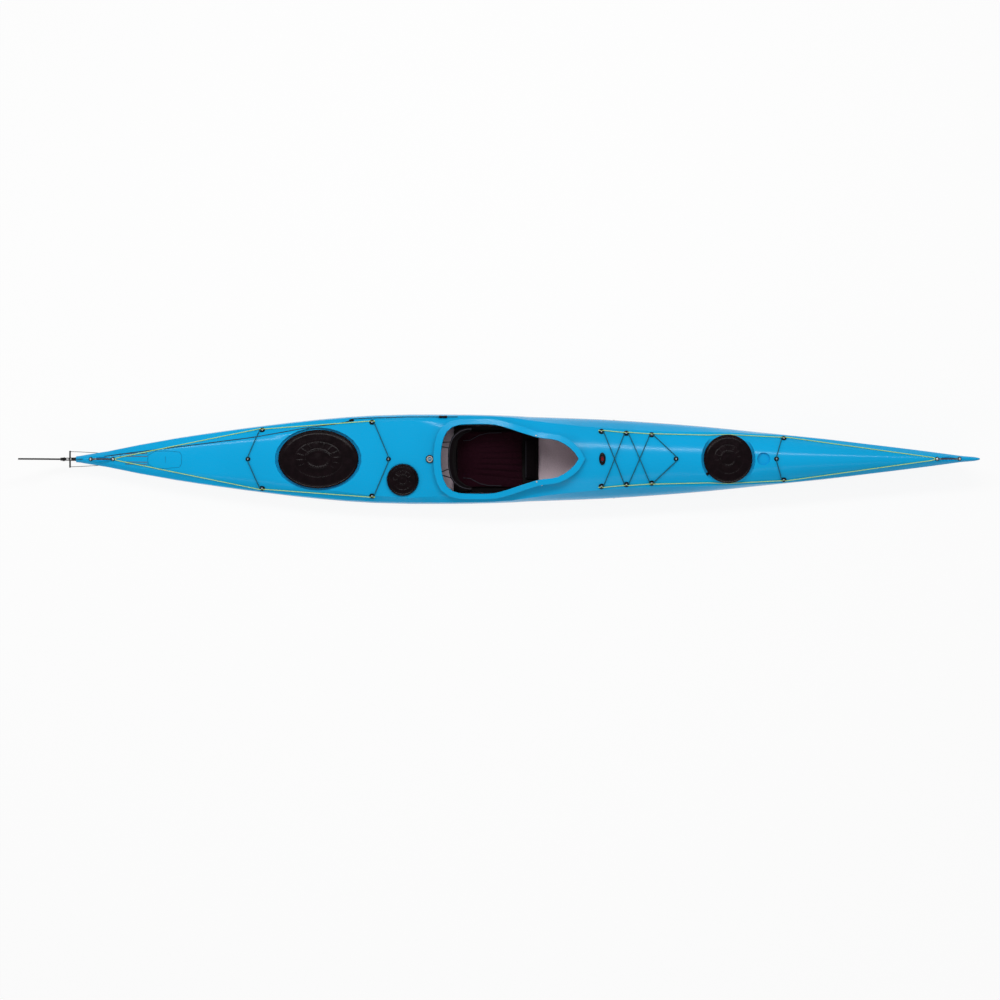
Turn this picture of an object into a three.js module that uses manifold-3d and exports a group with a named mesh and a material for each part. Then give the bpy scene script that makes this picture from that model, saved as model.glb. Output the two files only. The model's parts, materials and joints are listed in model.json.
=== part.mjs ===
import * as THREE from 'three';
import { mergeVertices } from 'three/addons/utils/BufferGeometryUtils.js';
import Module from 'manifold-3d';

// Sea kayak, in millimetres: +X to the bow, +Y to port, +Z up, origin on the keel flat at mid length.

const wasm = await Module();
wasm.setup();

// Hull and deck
const hullLength = 5450;
const halfBeam = 271;
const deckPeak = 343;
const shellWall = 4;
const gap = 0.3;
const overrun = 30;
const middleShare = 0.5;
const halfLength = hullLength * middleShare;
const hollowShares = [0.011, 0.98];
const sideSteps = 3;
const bilgeSteps = 5;
const crownSteps = 4;

// Sections from stern to bow. Columns: place along the hull, half beam, height of the widest line,
// keel height, sheer half width, sheer height, deck centre height, half width of the keel flat.
// Places are shares of hullLength, widths of halfBeam and heights of deckPeak.
const sectionShares = [
  [0, 0.07, 0.3, 0.22, 0.066, 0.385, 0.443, 0.01],
  [0.004, 0.076, 0.3, 0.145, 0.072, 0.385, 0.455, 0.01],
  [0.012, 0.105, 0.3, 0.12, 0.1, 0.385, 0.46, 0.012],
  [0.035, 0.18, 0.3, 0.112, 0.172, 0.39, 0.465, 0.015],
  [0.07, 0.325, 0.3, 0.1, 0.312, 0.411, 0.497, 0.018],
  [0.11, 0.469, 0.3, 0.088, 0.452, 0.435, 0.56, 0.022],
  [0.16, 0.62, 0.305, 0.076, 0.6, 0.44, 0.583, 0.035],
  [0.21, 0.753, 0.31, 0.062, 0.73, 0.449, 0.606, 0.055],
  [0.27, 0.889, 0.315, 0.042, 0.863, 0.458, 0.603, 0.09],
  [0.33, 0.978, 0.32, 0.018, 0.945, 0.475, 0.595, 0.135],
  [0.37, 1, 0.325, 0, 0.963, 0.496, 0.612, 0.166],
  [0.41, 1, 0.33, 0, 0.967, 0.51, 0.627, 0.166],
  [0.436, 0.996, 0.34, 0, 0.967, 0.525, 0.7, 0.166],
  [0.461, 0.985, 0.35, 0, 0.955, 0.555, 0.77, 0.166],
  [0.485, 0.967, 0.365, 0, 0.922, 0.625, 0.85, 0.166],
  [0.503, 0.945, 0.38, 0, 0.865, 0.7, 0.93, 0.166],
  [0.53, 0.927, 0.4, 0, 0.79, 0.79, 0.99, 0.16],
  [0.5825, 0.886, 0.437, 0.018, 0.69, 0.83, 0.988, 0.12],
  [0.65, 0.8, 0.45, 0.037, 0.61, 0.79, 0.971, 0.075],
  [0.7, 0.72, 0.455, 0.05, 0.6, 0.755, 0.942, 0.045],
  [0.752, 0.613, 0.46, 0.061, 0.56, 0.708, 0.936, 0.03],
  [0.785, 0.546, 0.465, 0.07, 0.53, 0.682, 0.953, 0.025],
  [0.83, 0.454, 0.48, 0.082, 0.439, 0.688, 0.942, 0.02],
  [0.88, 0.332, 0.5, 0.105, 0.321, 0.717, 0.921, 0.015],
  [0.93, 0.207, 0.55, 0.14, 0.199, 0.764, 0.907, 0.012],
  [0.958, 0.133, 0.6, 0.169, 0.125, 0.787, 0.898, 0.01],
  [0.976, 0.081, 0.64, 0.193, 0.077, 0.808, 0.88, 0.008],
  [0.982, 0.066, 0.66, 0.26, 0.062, 0.816, 0.877, 0.008],
  [0.988, 0.057, 0.69, 0.336, 0.053, 0.822, 0.874, 0.008],
  [0.9947, 0.044, 0.74, 0.52, 0.041, 0.828, 0.871, 0.008],
  [0.9985, 0.028, 0.79, 0.68, 0.026, 0.835, 0.869, 0.007],
  [1, 0.016, 0.82, 0.76, 0.015, 0.84, 0.865, 0.005],
];
// Roundness of the bilge: straight V sections near 1, full ones near 3.
const fullnessShares = [
  [0, 1.6], [0.1, 1.8], [0.2, 2.2], [0.3, 2.6], [0.42, 2.9], [0.53, 2.7],
  [0.65, 2.3], [0.78, 1.9], [0.9, 1.6], [1, 1.3],
];
// Deck sections: a soft crown out to a crease, then a sloping band down to the sheer.
// Columns: place along the hull, crease as a share of the sheer, share of the deck's rise there.
const creaseShares = [
  [0, 0.55, 0.7], [0.08, 0.66, 0.8], [0.21, 0.7, 0.82], [0.27, 0.76, 0.82], [0.33, 0.86, 0.82],
  [0.38, 0.9, 0.8], [0.45, 0.72, 0.68], [0.53, 0.6, 0.64], [1, 0.6, 0.64],
];
const splitShare = 0.045;

// Steps round turned pieces
const boltSteps = 12;
const postSteps = 14;
const pivotSteps = 16;
const ringSteps = 20;
const hubSteps = 24;

// Cockpit: place of its aft end along the hull, its length and the deck left beside it
const cockpitAftShare = 0.40532;
const cockpitLength = 827;
const sideDeckWidth = 62;
const cockpitAft = cockpitAftShare * hullLength - halfLength;
const cockpitFront = cockpitAft + cockpitLength;
const cockpitHalfWidth = halfBeam - sideDeckWidth;
const coamingWall = 4;
const coamingThickness = 6;
const coamingRound = 3;
const coamingDroop = 5;
const lipSide = 34;
const lipAft = 46;
const lipFront = 40;
const coamingHang = 14;
const coamingSteps = 48;
// Half outline of the opening from its aft end forward: shares of its length and half width.
const cockpitOutlineShares = [
  [0, 0], [0.004, 0.3], [0.022, 0.62], [0.06, 0.86], [0.12, 0.97], [0.25, 1], [0.39, 0.985],
  [0.498, 0.872], [0.575, 0.765], [0.652, 0.672], [0.714, 0.6], [0.83, 0.543], [0.884, 0.455],
  [0.93, 0.335], [0.969, 0.19], [0.992, 0.07],
];
// Height of the lip along the opening: shares of its length and of deckPeak.
const lipHeightShares = [
  [-0.1, 0.735], [0, 0.73], [0.1, 0.7], [0.2, 0.69], [0.28, 0.708], [0.36, 0.745], [0.43, 0.785],
  [0.53, 0.85], [0.64, 0.96], [0.76, 1.045], [0.87, 1.075], [1, 1.09], [1.1, 1.09],
];

// Places along the deck are shares of its length between the opening and the end of the hull.
const onForedeck = (share) => cockpitFront + share * (halfLength - cockpitFront);
const onAftDeck = (share) => cockpitAft - share * (halfLength + cockpitAft);

// Bulkheads: their aft faces
const bulkheadThickness = 10;
const rearBulkheadSetback = 59;
const dayBulkheadShare = 0.17926;
const frontBulkheadShare = 0.26471;
const frontBulkheadPlace = onForedeck(frontBulkheadShare);
const bulkheadPlaces = {
  rear: cockpitAft - rearBulkheadSetback,
  day: onAftDeck(dayBulkheadShare),
  front: frontBulkheadPlace,
};

// Hatches: place on the deck, size as a share of halfBeam, floor of the recess and its margin
const rearHatchShare = 0.33545;
const rearHatchWidthShare = 0.64576;
const rearHatchHalfLength = 240;
const rearHatchFloor = 170;
const rearRecessMargin = 16;
const frontHatchShare = 0.37283;
const frontHatchWidthShare = 0.52952;
const frontHatchFloor = 284;
const frontRecessMargin = 20;
const dayHatchShare = 0.10457;
const dayHatchSideShare = -0.46125;
const dayHatchRadius = 95;
const dayHatchDepth = 7;
const dayRecessMargin = 4;
const rearHatchPlace = onAftDeck(rearHatchShare);
const rearHatchHalfWidth = rearHatchWidthShare * halfBeam;
const frontHatchPlace = onForedeck(frontHatchShare);
const frontHatchRadius = frontHatchWidthShare * halfBeam;
const dayHatchPlace = onAftDeck(dayHatchShare);
const dayHatchSide = dayHatchSideShare * halfBeam;
const hatchSteps = 26;
const rimSetback = 10;
const rimWall = 7;
const rimHeight = 22;
const coverSkirt = 5;
const coverEdge = 27;
const coverCrown = 9;
const coverTop = 5;
const coverCrownShare = 0.6;

// Compass recess on the foredeck, ahead of the front hatch
const compassMargin = 9.5;
const compassRadius = 39;
const compassDepth = 16;
const compassSteps = 16;
const compassPlace = frontHatchPlace + frontHatchRadius + frontRecessMargin + compassMargin + compassRadius;

// Handles at both ends: their aft bolts from the end of the hull, and the span between the bolts
const bowHandleSetback = 259;
const sternHandleSetback = 91;
const bowHandlePlace = halfLength - bowHandleSetback;
const sternHandlePlace = sternHandleSetback - halfLength;
const handleSpan = 135;
const handleRise = 30;
const handleRadius = 5;
const handleLug = 9;
const handleLugThickness = 6;
const handleRecessLength = 92;
const handleRecessHalfWidth = 15;
const handleRecessDepth = 20;
const bowlSteps = 10;
// Rise of the grip between its bolts: shares of handleSpan and of handleRise.
const handleRiseShares = [[0.08, 0.3], [0.22, 0.85], [0.5, 1], [0.78, 0.85], [0.92, 0.3]];

// Deck fittings: rings on the middle line, and eyes set in from the sheer on both sides
const fittingRadius = 18;
const ringRadius = 15;
const bowRingMargin = 22.8;
const bowFittingLead = 48;
const sternRingShare = 0.52729;
const dayRingShare = 0.14339;
const foreRingShare = 0.24257;
const bowRingPlace = compassPlace + compassRadius + bowRingMargin + ringRadius;
const sternFittingShare = 0.4893;
const aftFittingShare = 0.1883;
const foreFittingShares = [0.05743, 0.11951, 0.18273];
const endFittingInset = 20.2;
const aftFittingInset = 33.7;
const foreFittingInset = 22.6;
const ringPlaces = {
  stern: onAftDeck(sternRingShare),
  day: onAftDeck(dayRingShare),
  fore: onForedeck(foreRingShare),
  bow: bowRingPlace,
};
const [foreOnePlace, foreTwoPlace, foreThreePlace] = foreFittingShares.map(onForedeck);
// Places of the eyes and how far they stand in from the sheer.
const fittingPlaces = {
  stern: [onAftDeck(sternFittingShare), endFittingInset],
  aft: [onAftDeck(aftFittingShare), aftFittingInset],
  fore_1: [foreOnePlace, foreFittingInset],
  fore_2: [foreTwoPlace, foreFittingInset],
  fore_3: [foreThreePlace, foreFittingInset],
  bow: [bowRingPlace + bowFittingLead, endFittingInset],
};
const fittingBase = 2.5;
const eyeHalfWidth = 13;
const eyeHole = 8;
const eyeLeg = 2;
const eyeThickness = 7;
const eyeSteps = 4;
const lineRadius = 2.5;
const bungeeRadius = 3;
const lineSide = -4;
const bungeeSide = 3.8;
const cordClearance = 0.8;
const cordLift = 3.5;
const cordSteps = 6;
const seatSteps = 16;
const seatReachShares = [1 / 3, 2 / 3, 1];
const seatClearance = 0.5;
// Where a bungee passes a side eye: shares of eyeHole along the hull and inward.
const eyeOutShare = 1.9;
const eyeNearShare = 0.65;
const eyeInShare = 1.4;
const lineSteps = 5;
const crossingSteps = 7;
const aftSteps = 10;
// The bow line past the front hatch: shares of frontHatchRadius from its middle, and of halfBeam.
const bowLineShares = [[-0.843, 0.53], [-0.008, 0.545], [0.865, 0.52]];

// Security ring and pump outlet
const securityRingSetback = 68;
const securityRingRadius = 24;
const securityRingHeight = 9;
const securityRingHole = 12;
const pumpOutletShare = 0.05924;
const pumpOutletHalfLength = 20;
const pumpOutletHalfWidth = 38;
const pumpOutletHeight = 9;
const pumpOutletHole = 9;

// Rudder: heights of the steering barrel and hub, places behind the transom
const pinSetback = 31;
const hubSetback = 75;
const hubHeight = 132;
const barrelHeight = 124;
const barrelHalfHeight = 16;
const barrelRadius = 10;
const yokeReachShare = 1.4;
const pinRadius = 4;
const pinHead = 7;
const pinHeadHeight = 4;
const lugThickness = 6;
const plateHalfWidth = 11;
const plateThickness = 6;
const crossbarSetback = 38;
const crossbarHalfLength = 51;
const crossbarDepth = 9;
const crossbarHeight = 8;
const cheekThickness = 4;
const cheekHalfHeight = 15;
const cheekRadius = 20;
const bladeThickness = 9;
const bladeLength = 308;
const bladeWidth = 69;
const bladeHub = 16;
const bladeRaise = 41.9;
const sideClearance = 0.5;
const boltRadius = 4;
const boltHead = 7;
const boltHeadHeight = 3;
// Outline of the blade from its hub: shares of bladeLength along and of bladeWidth across.
const bladeShares = [
  [0.04, 0.22], [0.13, 0.16], [0.21, 0.06], [0.3, 0.17], [0.4, 0.255], [0.55, 0.2], [0.69, 0.11],
  [0.85, -0.1], [0.96, -0.26], [1, -0.42], [0.995, -0.6], [0.965, -0.745], [0.6, -0.745],
  [0.2, -0.745], [0.09, -0.735], [0.06, -0.6], [0.03, -0.24],
];
// Rudder cables: points behind the transom from the crossbar, shares of hullLength along the hull
// side, and points at the toe pedals
const cableRadius = 1.6;
const cableInset = 22;
const cableSternPoints = [[0.3, 46, 0], [60, 44, -3], [165, 38, -7], [215, 37, -8], [280, 44, -9]];
const cableRunShares = [0.08, 0.13, 0.2, 0.27, 0.34, 0.42, 0.5, 0.57];
const cableFootPoints = [[-150, 22, 60], [-60, -16, 98], [-2.3, -26, 104]];

// Haul line of the rudder over the stern deck, then on the port deck edge with its toggle
const haulRadius = 2;
const haulHoleSetback = 42;
const haulSternRise = 34;
const haulSteps = 2;
const haulAftShare = 0.24626;
const haulMiddleShare = 1 / 3;
const haulFrontSetback = 101;
const haulInset = 7;
const toggleSetback = 12;
const toggleLength = 52;
const toggleRadius = 8;
const toggleTravel = 150;
// Profile of the toggle: shares of toggleRadius and of half its length.
const toggleShares = [[0.7, -1], [1, -0.7], [0.8, 0], [1, 0.7], [0.7, 1]];

// Seat
const seatSetback = 76;
const seatLength = 515;
const seatSideClearance = 9;
const seatWall = 5;
const seatHip = 150;
const seatBilge = 62;
const padGap = 6;
const cushionInset = 20;
const cushionThickness = 34;
const cushionCrown = 9;
const cushionRibSteps = 5;
const cushionSteps = 20;
const supportSteps = 8;
const supportLength = 78;
const supportWidthShare = 0.64;
const supportThickness = 44;
const padRowSteps = 8;
const padUnderSteps = 4;
const padEndShare = 0.93;
const padEdgeShare = 0.9;
const padTaperShare = 0.05;
const seatAft = cockpitAft + seatSetback;
const seatHalfWidth = cockpitHalfWidth - seatSideClearance;
const seatHalfFloor = seatHalfWidth * middleShare;
const cushionStart = seatAft + seatWall * 2;
const supportStart = seatAft + seatLength - supportLength - seatWall;
const cushionLength = supportStart - padGap - cushionStart;
const cushionHalfWidth = seatHalfWidth - cushionInset;
const supportHalfWidth = supportWidthShare * seatHalfWidth;
// Height of the seat's sides along it: shares of seatLength and of seatHip.
const hipShares = [[0, 0.9], [0.12, 1], [0.45, 1], [0.7, 0.72], [1, 0.4]];

// Backrest
const backrestThickness = 22;
const backrestBottom = 132;
const backrestTop = 304;
const backrestPivotShare = 0.20678;
const backrestPivotHeight = 147;
const backrestPivotRadius = 13;
const backrestSteps = 14;
const wingTaperShare = 0.45;
// Section of the band: shares of half its thickness outward and of its height.
const bandShares = [
  [0.5, 0], [1, 0.2], [1.2, 0.5], [1, 0.8], [0.5, 1], [-0.5, 1], [-0.9, 0.8], [-0.9, 0.2], [-0.5, 0],
];
// Plan of the backrest from its middle to a wing: places as shares of cockpitLength from the aft end
// of the opening, sides as shares of cockpitHalfWidth, tops as shares of backrestTop.
const backrestShares = [
  [0.062, 0, 1], [0.068, 0.3, 0.985], [0.09, 0.58, 0.94], [0.14, 0.77, 0.87], [0.19, 0.84, 0.81],
  [0.232, 0.85, 0.77],
];

// Thigh braces under the deck beside the opening
const braceSetback = 291;
const braceLength = 150;
const braceThickness = 9;
const braceWidthShare = 0.69373;
const braceAft = cockpitFront - braceSetback;
const braceHalfWidth = braceWidthShare * halfBeam;

// Foot rails, rests and pedals
const railSetback = 434;
const railLength = 380;
const railInset = 35.1;
const railAft = frontBulkheadPlace - railSetback;
const railHeight = 118;
const railWidth = 9;
const railTall = 24;
const railBoss = 30;
const restLead = 174;
const restPlace = railAft + restLead;
const restThickness = 22;
const restWidth = 78;
const restTall = 76;
const restClearance = 0.5;
const restWrap = 8;
const pedalTall = 74;
const pedalThickness = 9;
const hingeRadius = 6;

const UP = new THREE.Vector3(0, 0, 1);
const quarterTurn = Math.PI / 2;
const sides = [['port', 1], ['starboard', -1]];

const paint = (color, roughness, metalness = 0) =>
  new THREE.MeshStandardMaterial({ color, roughness, metalness });
const azure = paint('#029fdc', 0.25);
const black = paint('#101012', 0.6);
const rubber = paint('#0b0a0c', 0.75);
const fabric = paint('#26131a', 0.9);
const steel = paint('#b9bfc2', 0.3, 0.9);
const yellow = paint('#8fae35', 0.7);
const green = paint('#12444a', 0.75);
const blackCord = paint('#15181b', 0.8);

const kayak = new THREE.Group();

function add(name, geometry, material, parent = kayak) {
  const mesh = new THREE.Mesh(geometry, material);
  mesh.name = name;
  parent.add(mesh);
  return mesh;
}

// Smooth curve through a table of places and values that never overshoots its points.
function smoothCurve(rows, column = 1) {
  const places = rows.map((row) => row[0]);
  const values = rows.map((row) => row[column]);
  const slopes = places.slice(1).map((place, i) => (values[i + 1] - values[i]) / (place - places[i]));
  const tangents = places.map((place, i) => {
    if (i === 0) return slopes[0];
    if (i === places.length - 1) return slopes[i - 1];
    if (slopes[i - 1] * slopes[i] <= 0) return 0;
    return 2 / (1 / slopes[i - 1] + 1 / slopes[i]);
  });
  return (place) => {
    let i = places.findIndex((end, row) => row > 0 && place <= end);
    i = i < 0 ? places.length - 1 : i;
    const width = places[i] - places[i - 1];
    const t = THREE.MathUtils.clamp((place - places[i - 1]) / width, 0, 1);
    const rise = t * t * (3 - 2 * t);
    const leave = t * (1 - t) * (1 - t) * width * tangents[i - 1];
    const arrive = t * t * (t - 1) * width * tangents[i];
    return values[i - 1] * (1 - rise) + values[i] * rise + leave + arrive;
  };
}

// Closed body through rings of points; with joined set, the last ring meets the first.
function loft(rings, joined = false) {
  const size = rings[0].length;
  const index = [];
  const runs = joined ? rings.length : rings.length - 1;
  for (let r = 0; r < runs; r += 1) {
    for (let i = 0; i < size; i += 1) {
      const next = (i + 1) % size;
      const a = r * size;
      const b = ((r + 1) % rings.length) * size;
      index.push(a + i, a + next, b + next, a + i, b + next, b + i);
    }
  }
  if (!joined) {
    [0, rings.length - 1].forEach((r) => {
      const faces = capFaces(rings[r]);
      faces.forEach(([i, j, k]) => {
        const corners = [i, j, k].map((corner) => corner + r * size);
        if (r === 0) corners.reverse();
        index.push(...corners);
      });
    });
  }
  const geometry = new THREE.BufferGeometry();
  const points = rings.flat().flatMap((point) => [point.x, point.y, point.z]);
  geometry.setAttribute('position', new THREE.Float32BufferAttribute(points, 3));
  geometry.setIndex(index);
  if (volumeOf(geometry) < 0) {
    for (let i = 0; i < index.length; i += 3) [index[i], index[i + 1]] = [index[i + 1], index[i]];
    geometry.setIndex(index);
  }
  return geometry;
}

// Triangles over a flat ring, turning the same way as the ring.
function capFaces(ring) {
  const normal = new THREE.Vector3();
  ring.forEach((point, i) => {
    normal.add(new THREE.Vector3().crossVectors(point, ring[(i + 1) % ring.length]));
  });
  normal.normalize();
  const side = new THREE.Vector3(normal.y, normal.z, normal.x).cross(normal).normalize();
  const up = new THREE.Vector3().crossVectors(normal, side);
  const flat = ring.map((point) => new THREE.Vector2(point.dot(side), point.dot(up)));
  return THREE.ShapeUtils.triangulateShape(flat, []);
}

function volumeOf(geometry) {
  const index = geometry.index.array;
  const position = geometry.attributes.position;
  const corner = (i) => new THREE.Vector3().fromBufferAttribute(position, index[i]);
  let volume = 0;
  for (let i = 0; i < index.length; i += 3) {
    volume += corner(i).dot(corner(i + 1).cross(corner(i + 2)));
  }
  return volume;
}

function solid(geometry) {
  const bare = geometry.clone();
  bare.deleteAttribute('normal');
  bare.deleteAttribute('uv');
  const merged = mergeVertices(bare, 1e-3);
  return new wasm.Manifold(new wasm.Mesh({
    numProp: 3,
    vertProperties: merged.attributes.position.array,
    triVerts: new Uint32Array(merged.index.array),
  }));
}

function surface(body) {
  const mesh = body.getMesh();
  const geometry = new THREE.BufferGeometry();
  geometry.setAttribute('position', new THREE.BufferAttribute(mesh.vertProperties, 3));
  geometry.setIndex(new THREE.BufferAttribute(mesh.triVerts, 1));
  geometry.computeVertexNormals();
  return geometry;
}

const joinAll = (bodies) => bodies.reduce((whole, body) => whole.add(body));
const cutAll = (body, cutters) => cutters.reduce((whole, cutter) => whole.subtract(cutter), body);

function box(low, high) {
  const size = new THREE.Vector3().subVectors(high, low);
  const centre = new THREE.Vector3().addVectors(low, high).multiplyScalar(middleShare);
  return solid(new THREE.BoxGeometry(size.x, size.y, size.z).translate(centre.x, centre.y, centre.z));
}

// Upright cylinder from one height to another.
function post(x, y, radius, low, high, steps = postSteps) {
  const geometry = new THREE.CylinderGeometry(radius, radius, high - low, steps).rotateX(quarterTurn);
  return solid(geometry.translate(x, y, (low + high) * middleShare));
}

// Level cylinder across the hull.
function axle(x, z, radius, start, end, steps = postSteps) {
  const geometry = new THREE.CylinderGeometry(radius, radius, end - start, steps);
  return solid(geometry.translate(x, (start + end) * middleShare, z));
}

// Route of a cord: its steps are shared out by its points, not by its length.
class Route extends THREE.CatmullRomCurve3 {
  constructor(points) {
    super(points, false, 'centripetal');
  }

  getPointAt(share, target) {
    return this.getPoint(share, target);
  }

  getTangentAt(share, target) {
    return this.getTangent(share, target);
  }
}

function roundSection(radius, steps) {
  const points = [];
  for (let i = 0; i < steps; i += 1) {
    const angle = (i / steps) * Math.PI * 2;
    points.push(new THREE.Vector2(Math.cos(angle), Math.sin(angle)).multiplyScalar(radius));
  }
  return new THREE.Shape(points);
}

function cord(points, radius, splits = 1) {
  return new THREE.ExtrudeGeometry(roundSection(radius, cordSteps), {
    steps: (points.length - 1) * splits,
    extrudePath: new Route(points),
  });
}

// Sections of the hull and deck
const sectionCurves = [1, 2, 3, 4, 5, 6, 7].map((column) => smoothCurve(sectionShares, column));
const fullnessCurve = smoothCurve(fullnessShares);
const creaseCurve = smoothCurve(creaseShares);
const creaseRiseCurve = smoothCurve(creaseShares, 2);

function sectionAt(share) {
  const [beam, beamHeight, keel, sheer, sheerHeight, deck, flat] = sectionCurves.map((curve) => curve(share));
  return {
    x: share * hullLength - halfLength,
    beam: beam * halfBeam,
    beamHeight: beamHeight * deckPeak,
    keel: keel * deckPeak,
    sheer: sheer * halfBeam,
    sheerHeight: sheerHeight * deckPeak,
    deck: deck * deckPeak + gap,
    flat: flat * halfBeam,
    fullness: fullnessCurve(share),
    crease: creaseCurve(share),
    creaseRise: creaseRiseCurve(share),
  };
}

const sectionNear = (x) => sectionAt((x + halfLength) / hullLength);

const stationShares = sectionShares.flatMap(([share], i) => {
  if (i === 0) return [share];
  const last = sectionShares[i - 1][0];
  return share - last > splitShare ? [(share + last) * middleShare, share] : [share];
});

// Half of the hull section from the sheer down to the keel, set in by a wall.
function hullCurve(section, inset) {
  const beam = section.beam - inset;
  const sheer = section.sheer - inset;
  const keel = section.keel + inset;
  const flat = Math.min(section.flat, beam * middleShare);
  const points = [];
  for (let i = 0; i < sideSteps; i += 1) {
    const t = 1 - i / sideSteps;
    const height = section.beamHeight + (section.sheerHeight - section.beamHeight) * t;
    points.push([beam - (beam - sheer) * t * t, height]);
  }
  for (let i = bilgeSteps; i >= 0; i -= 1) {
    const angle = (i / bilgeSteps) * quarterTurn;
    const power = 2 / section.fullness;
    const drop = (section.beamHeight - keel) * Math.cos(angle) ** power;
    points.push([flat + (beam - flat) * Math.sin(angle) ** power, section.beamHeight - drop]);
  }
  points.push([0, keel]);
  return points;
}

// Share of the deck's rise that is reached at a share of the sheer's half width.
function riseAt({ crease, creaseRise }, t) {
  if (t > crease) return creaseRise * (1 - t) / (1 - crease);
  return 1 - (1 - creaseRise) * (t / crease) ** 2;
}

// Half of the deck section from the sheer up over the crease to the centre, set in by a wall.
function deckCurve(section, inset) {
  const sheer = section.sheer - inset;
  const edge = section.sheerHeight + gap;
  const rise = section.deck - inset - edge;
  const crown = Array.from({ length: crownSteps + 1 }, (item, i) => section.crease * (1 - i / crownSteps));
  const shares = [1, (1 + section.crease) * middleShare, ...crown];
  return shares.map((t) => [sheer * t, edge + rise * riseAt(section, t)]);
}

const mirrored = (half) => [...half, ...half.slice(0, -1).reverse().map(([y, z]) => [-y, z])];
const ringOf = (section, outline) => outline.map(([y, z]) => new THREE.Vector3(section.x, y, z));
const [hollowStart, hollowEnd] = hollowShares;
const isHollow = (share) => share > hollowStart && share < hollowEnd;
const hollowStations = stationShares.filter(isHollow);

// The hull's volume up to its sheer, set in by a wall and carried above the sheer by a rise.
function hullVolume(inset, rise, shares) {
  return solid(loft(shares.map((share) => {
    const section = sectionAt(share);
    const curve = hullCurve(section, inset);
    const half = rise ? [[section.sheer - inset, section.sheerHeight + rise], ...curve] : curve;
    return ringOf(section, mirrored(half));
  })));
}

// The deck's volume down to its sheer, set in by a wall and carried below the sheer by a drop.
function deckVolume(inset, drop, shares) {
  return solid(loft(shares.map((share) => {
    const section = sectionAt(share);
    const curve = deckCurve(section, inset);
    const half = drop ? [[section.sheer - inset, section.sheerHeight - drop], ...curve] : curve;
    return ringOf(section, mirrored(half));
  })));
}

// Everything inside the shells, less a clearance.
function interiorVolume(clearance) {
  const inset = shellWall + clearance;
  return solid(loft(hollowStations.map((share) => {
    const section = sectionAt(share);
    const below = mirrored(hullCurve(section, inset));
    const above = mirrored(deckCurve(section, inset)).slice(1, -1).reverse();
    return ringOf(section, [...below, ...above]);
  })));
}

// Height of the smooth deck over a point.
function deckHeight(x, y) {
  const section = sectionNear(x);
  const t = Math.min(Math.abs(y) / section.sheer, 1);
  return section.sheerHeight + gap + (section.deck - section.sheerHeight - gap) * riseAt(section, t);
}

// Cockpit outline: points and outward normals in plan
const cockpitHalf = cockpitOutlineShares.map(([along, side]) =>
  new THREE.Vector3(cockpitAft + along * cockpitLength, side * cockpitHalfWidth, 0));
const cockpitTip = new THREE.Vector3(cockpitFront, 0, 0);
const cockpitCurve = new THREE.CatmullRomCurve3([
  ...cockpitHalf, cockpitTip,
  ...cockpitHalf.slice(1).reverse().map((point) => new THREE.Vector3(point.x, -point.y, 0)),
], true, 'centripetal');
const cockpitPlaces = Array.from({ length: coamingSteps }, (item, i) => i / coamingSteps);
const cockpitRim = cockpitPlaces.map((share) => {
  const point = cockpitCurve.getPointAt(share);
  const tangent = cockpitCurve.getTangentAt(share);
  return { point, out: new THREE.Vector3(-tangent.y, tangent.x, 0) };
});
const lipCurve = smoothCurve(lipHeightShares);
const lipHeight = (x) => lipCurve((x - cockpitAft) / cockpitLength) * deckPeak;

// Upright prism on the cockpit outline, widened by an offset.
function cockpitPrism(offset) {
  const outline = cockpitRim.map(({ point, out }) => {
    const place = point.clone().addScaledVector(out, offset);
    return new THREE.Vector2(place.x, place.y);
  });
  const depth = deckPeak + overrun;
  return solid(new THREE.ExtrudeGeometry(new THREE.Shape(outline), { depth, bevelEnabled: false })
    .translate(0, 0, deckPeak * middleShare - overrun));
}

function coaming() {
  return loft(cockpitRim.map(({ point, out }) => {
    const aft = Math.max(-out.x, 0);
    const front = Math.max(out.x, 0);
    const width = lipSide + (lipAft - lipSide) * aft + (lipFront - lipSide) * front;
    const top = lipHeight(point.x);
    const wall = point.clone().addScaledVector(out, coamingWall);
    const foot = Math.min(deckHeight(wall.x, wall.y) - coamingHang, top - coamingThickness * 2);
    const at = (offset, height) => point.clone().addScaledVector(out, offset).setZ(height);
    const edge = top - coamingDroop;
    return [
      at(0, foot), at(0, top - coamingRound), at(coamingRound, top),
      at(width - coamingRound, edge), at(width, edge - coamingRound),
      at(width - coamingRound, edge - coamingThickness),
      at(coamingWall + coamingRound, top - coamingThickness),
      at(coamingWall, top - coamingThickness - coamingRound), at(coamingWall, foot),
    ];
  }), true);
}

// Recess for a hatch: solid walls to add, the space to cut and the mouth under the cover
function ovalPost(hatch, radius, low, high) {
  const geometry = new THREE.CylinderGeometry(radius, radius, high - low, hatchSteps).rotateX(quarterTurn);
  geometry.translate(0, 0, (low + high) * middleShare).scale(hatch.stretch, 1, 1);
  hatch.place.updateMatrix();
  return solid(geometry.applyMatrix4(hatch.place.matrix));
}

function hatchPlace(x, y, z, tilt = 0) {
  const place = new THREE.Group();
  place.position.set(x, y, z);
  place.rotation.x = tilt;
  return place;
}

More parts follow.
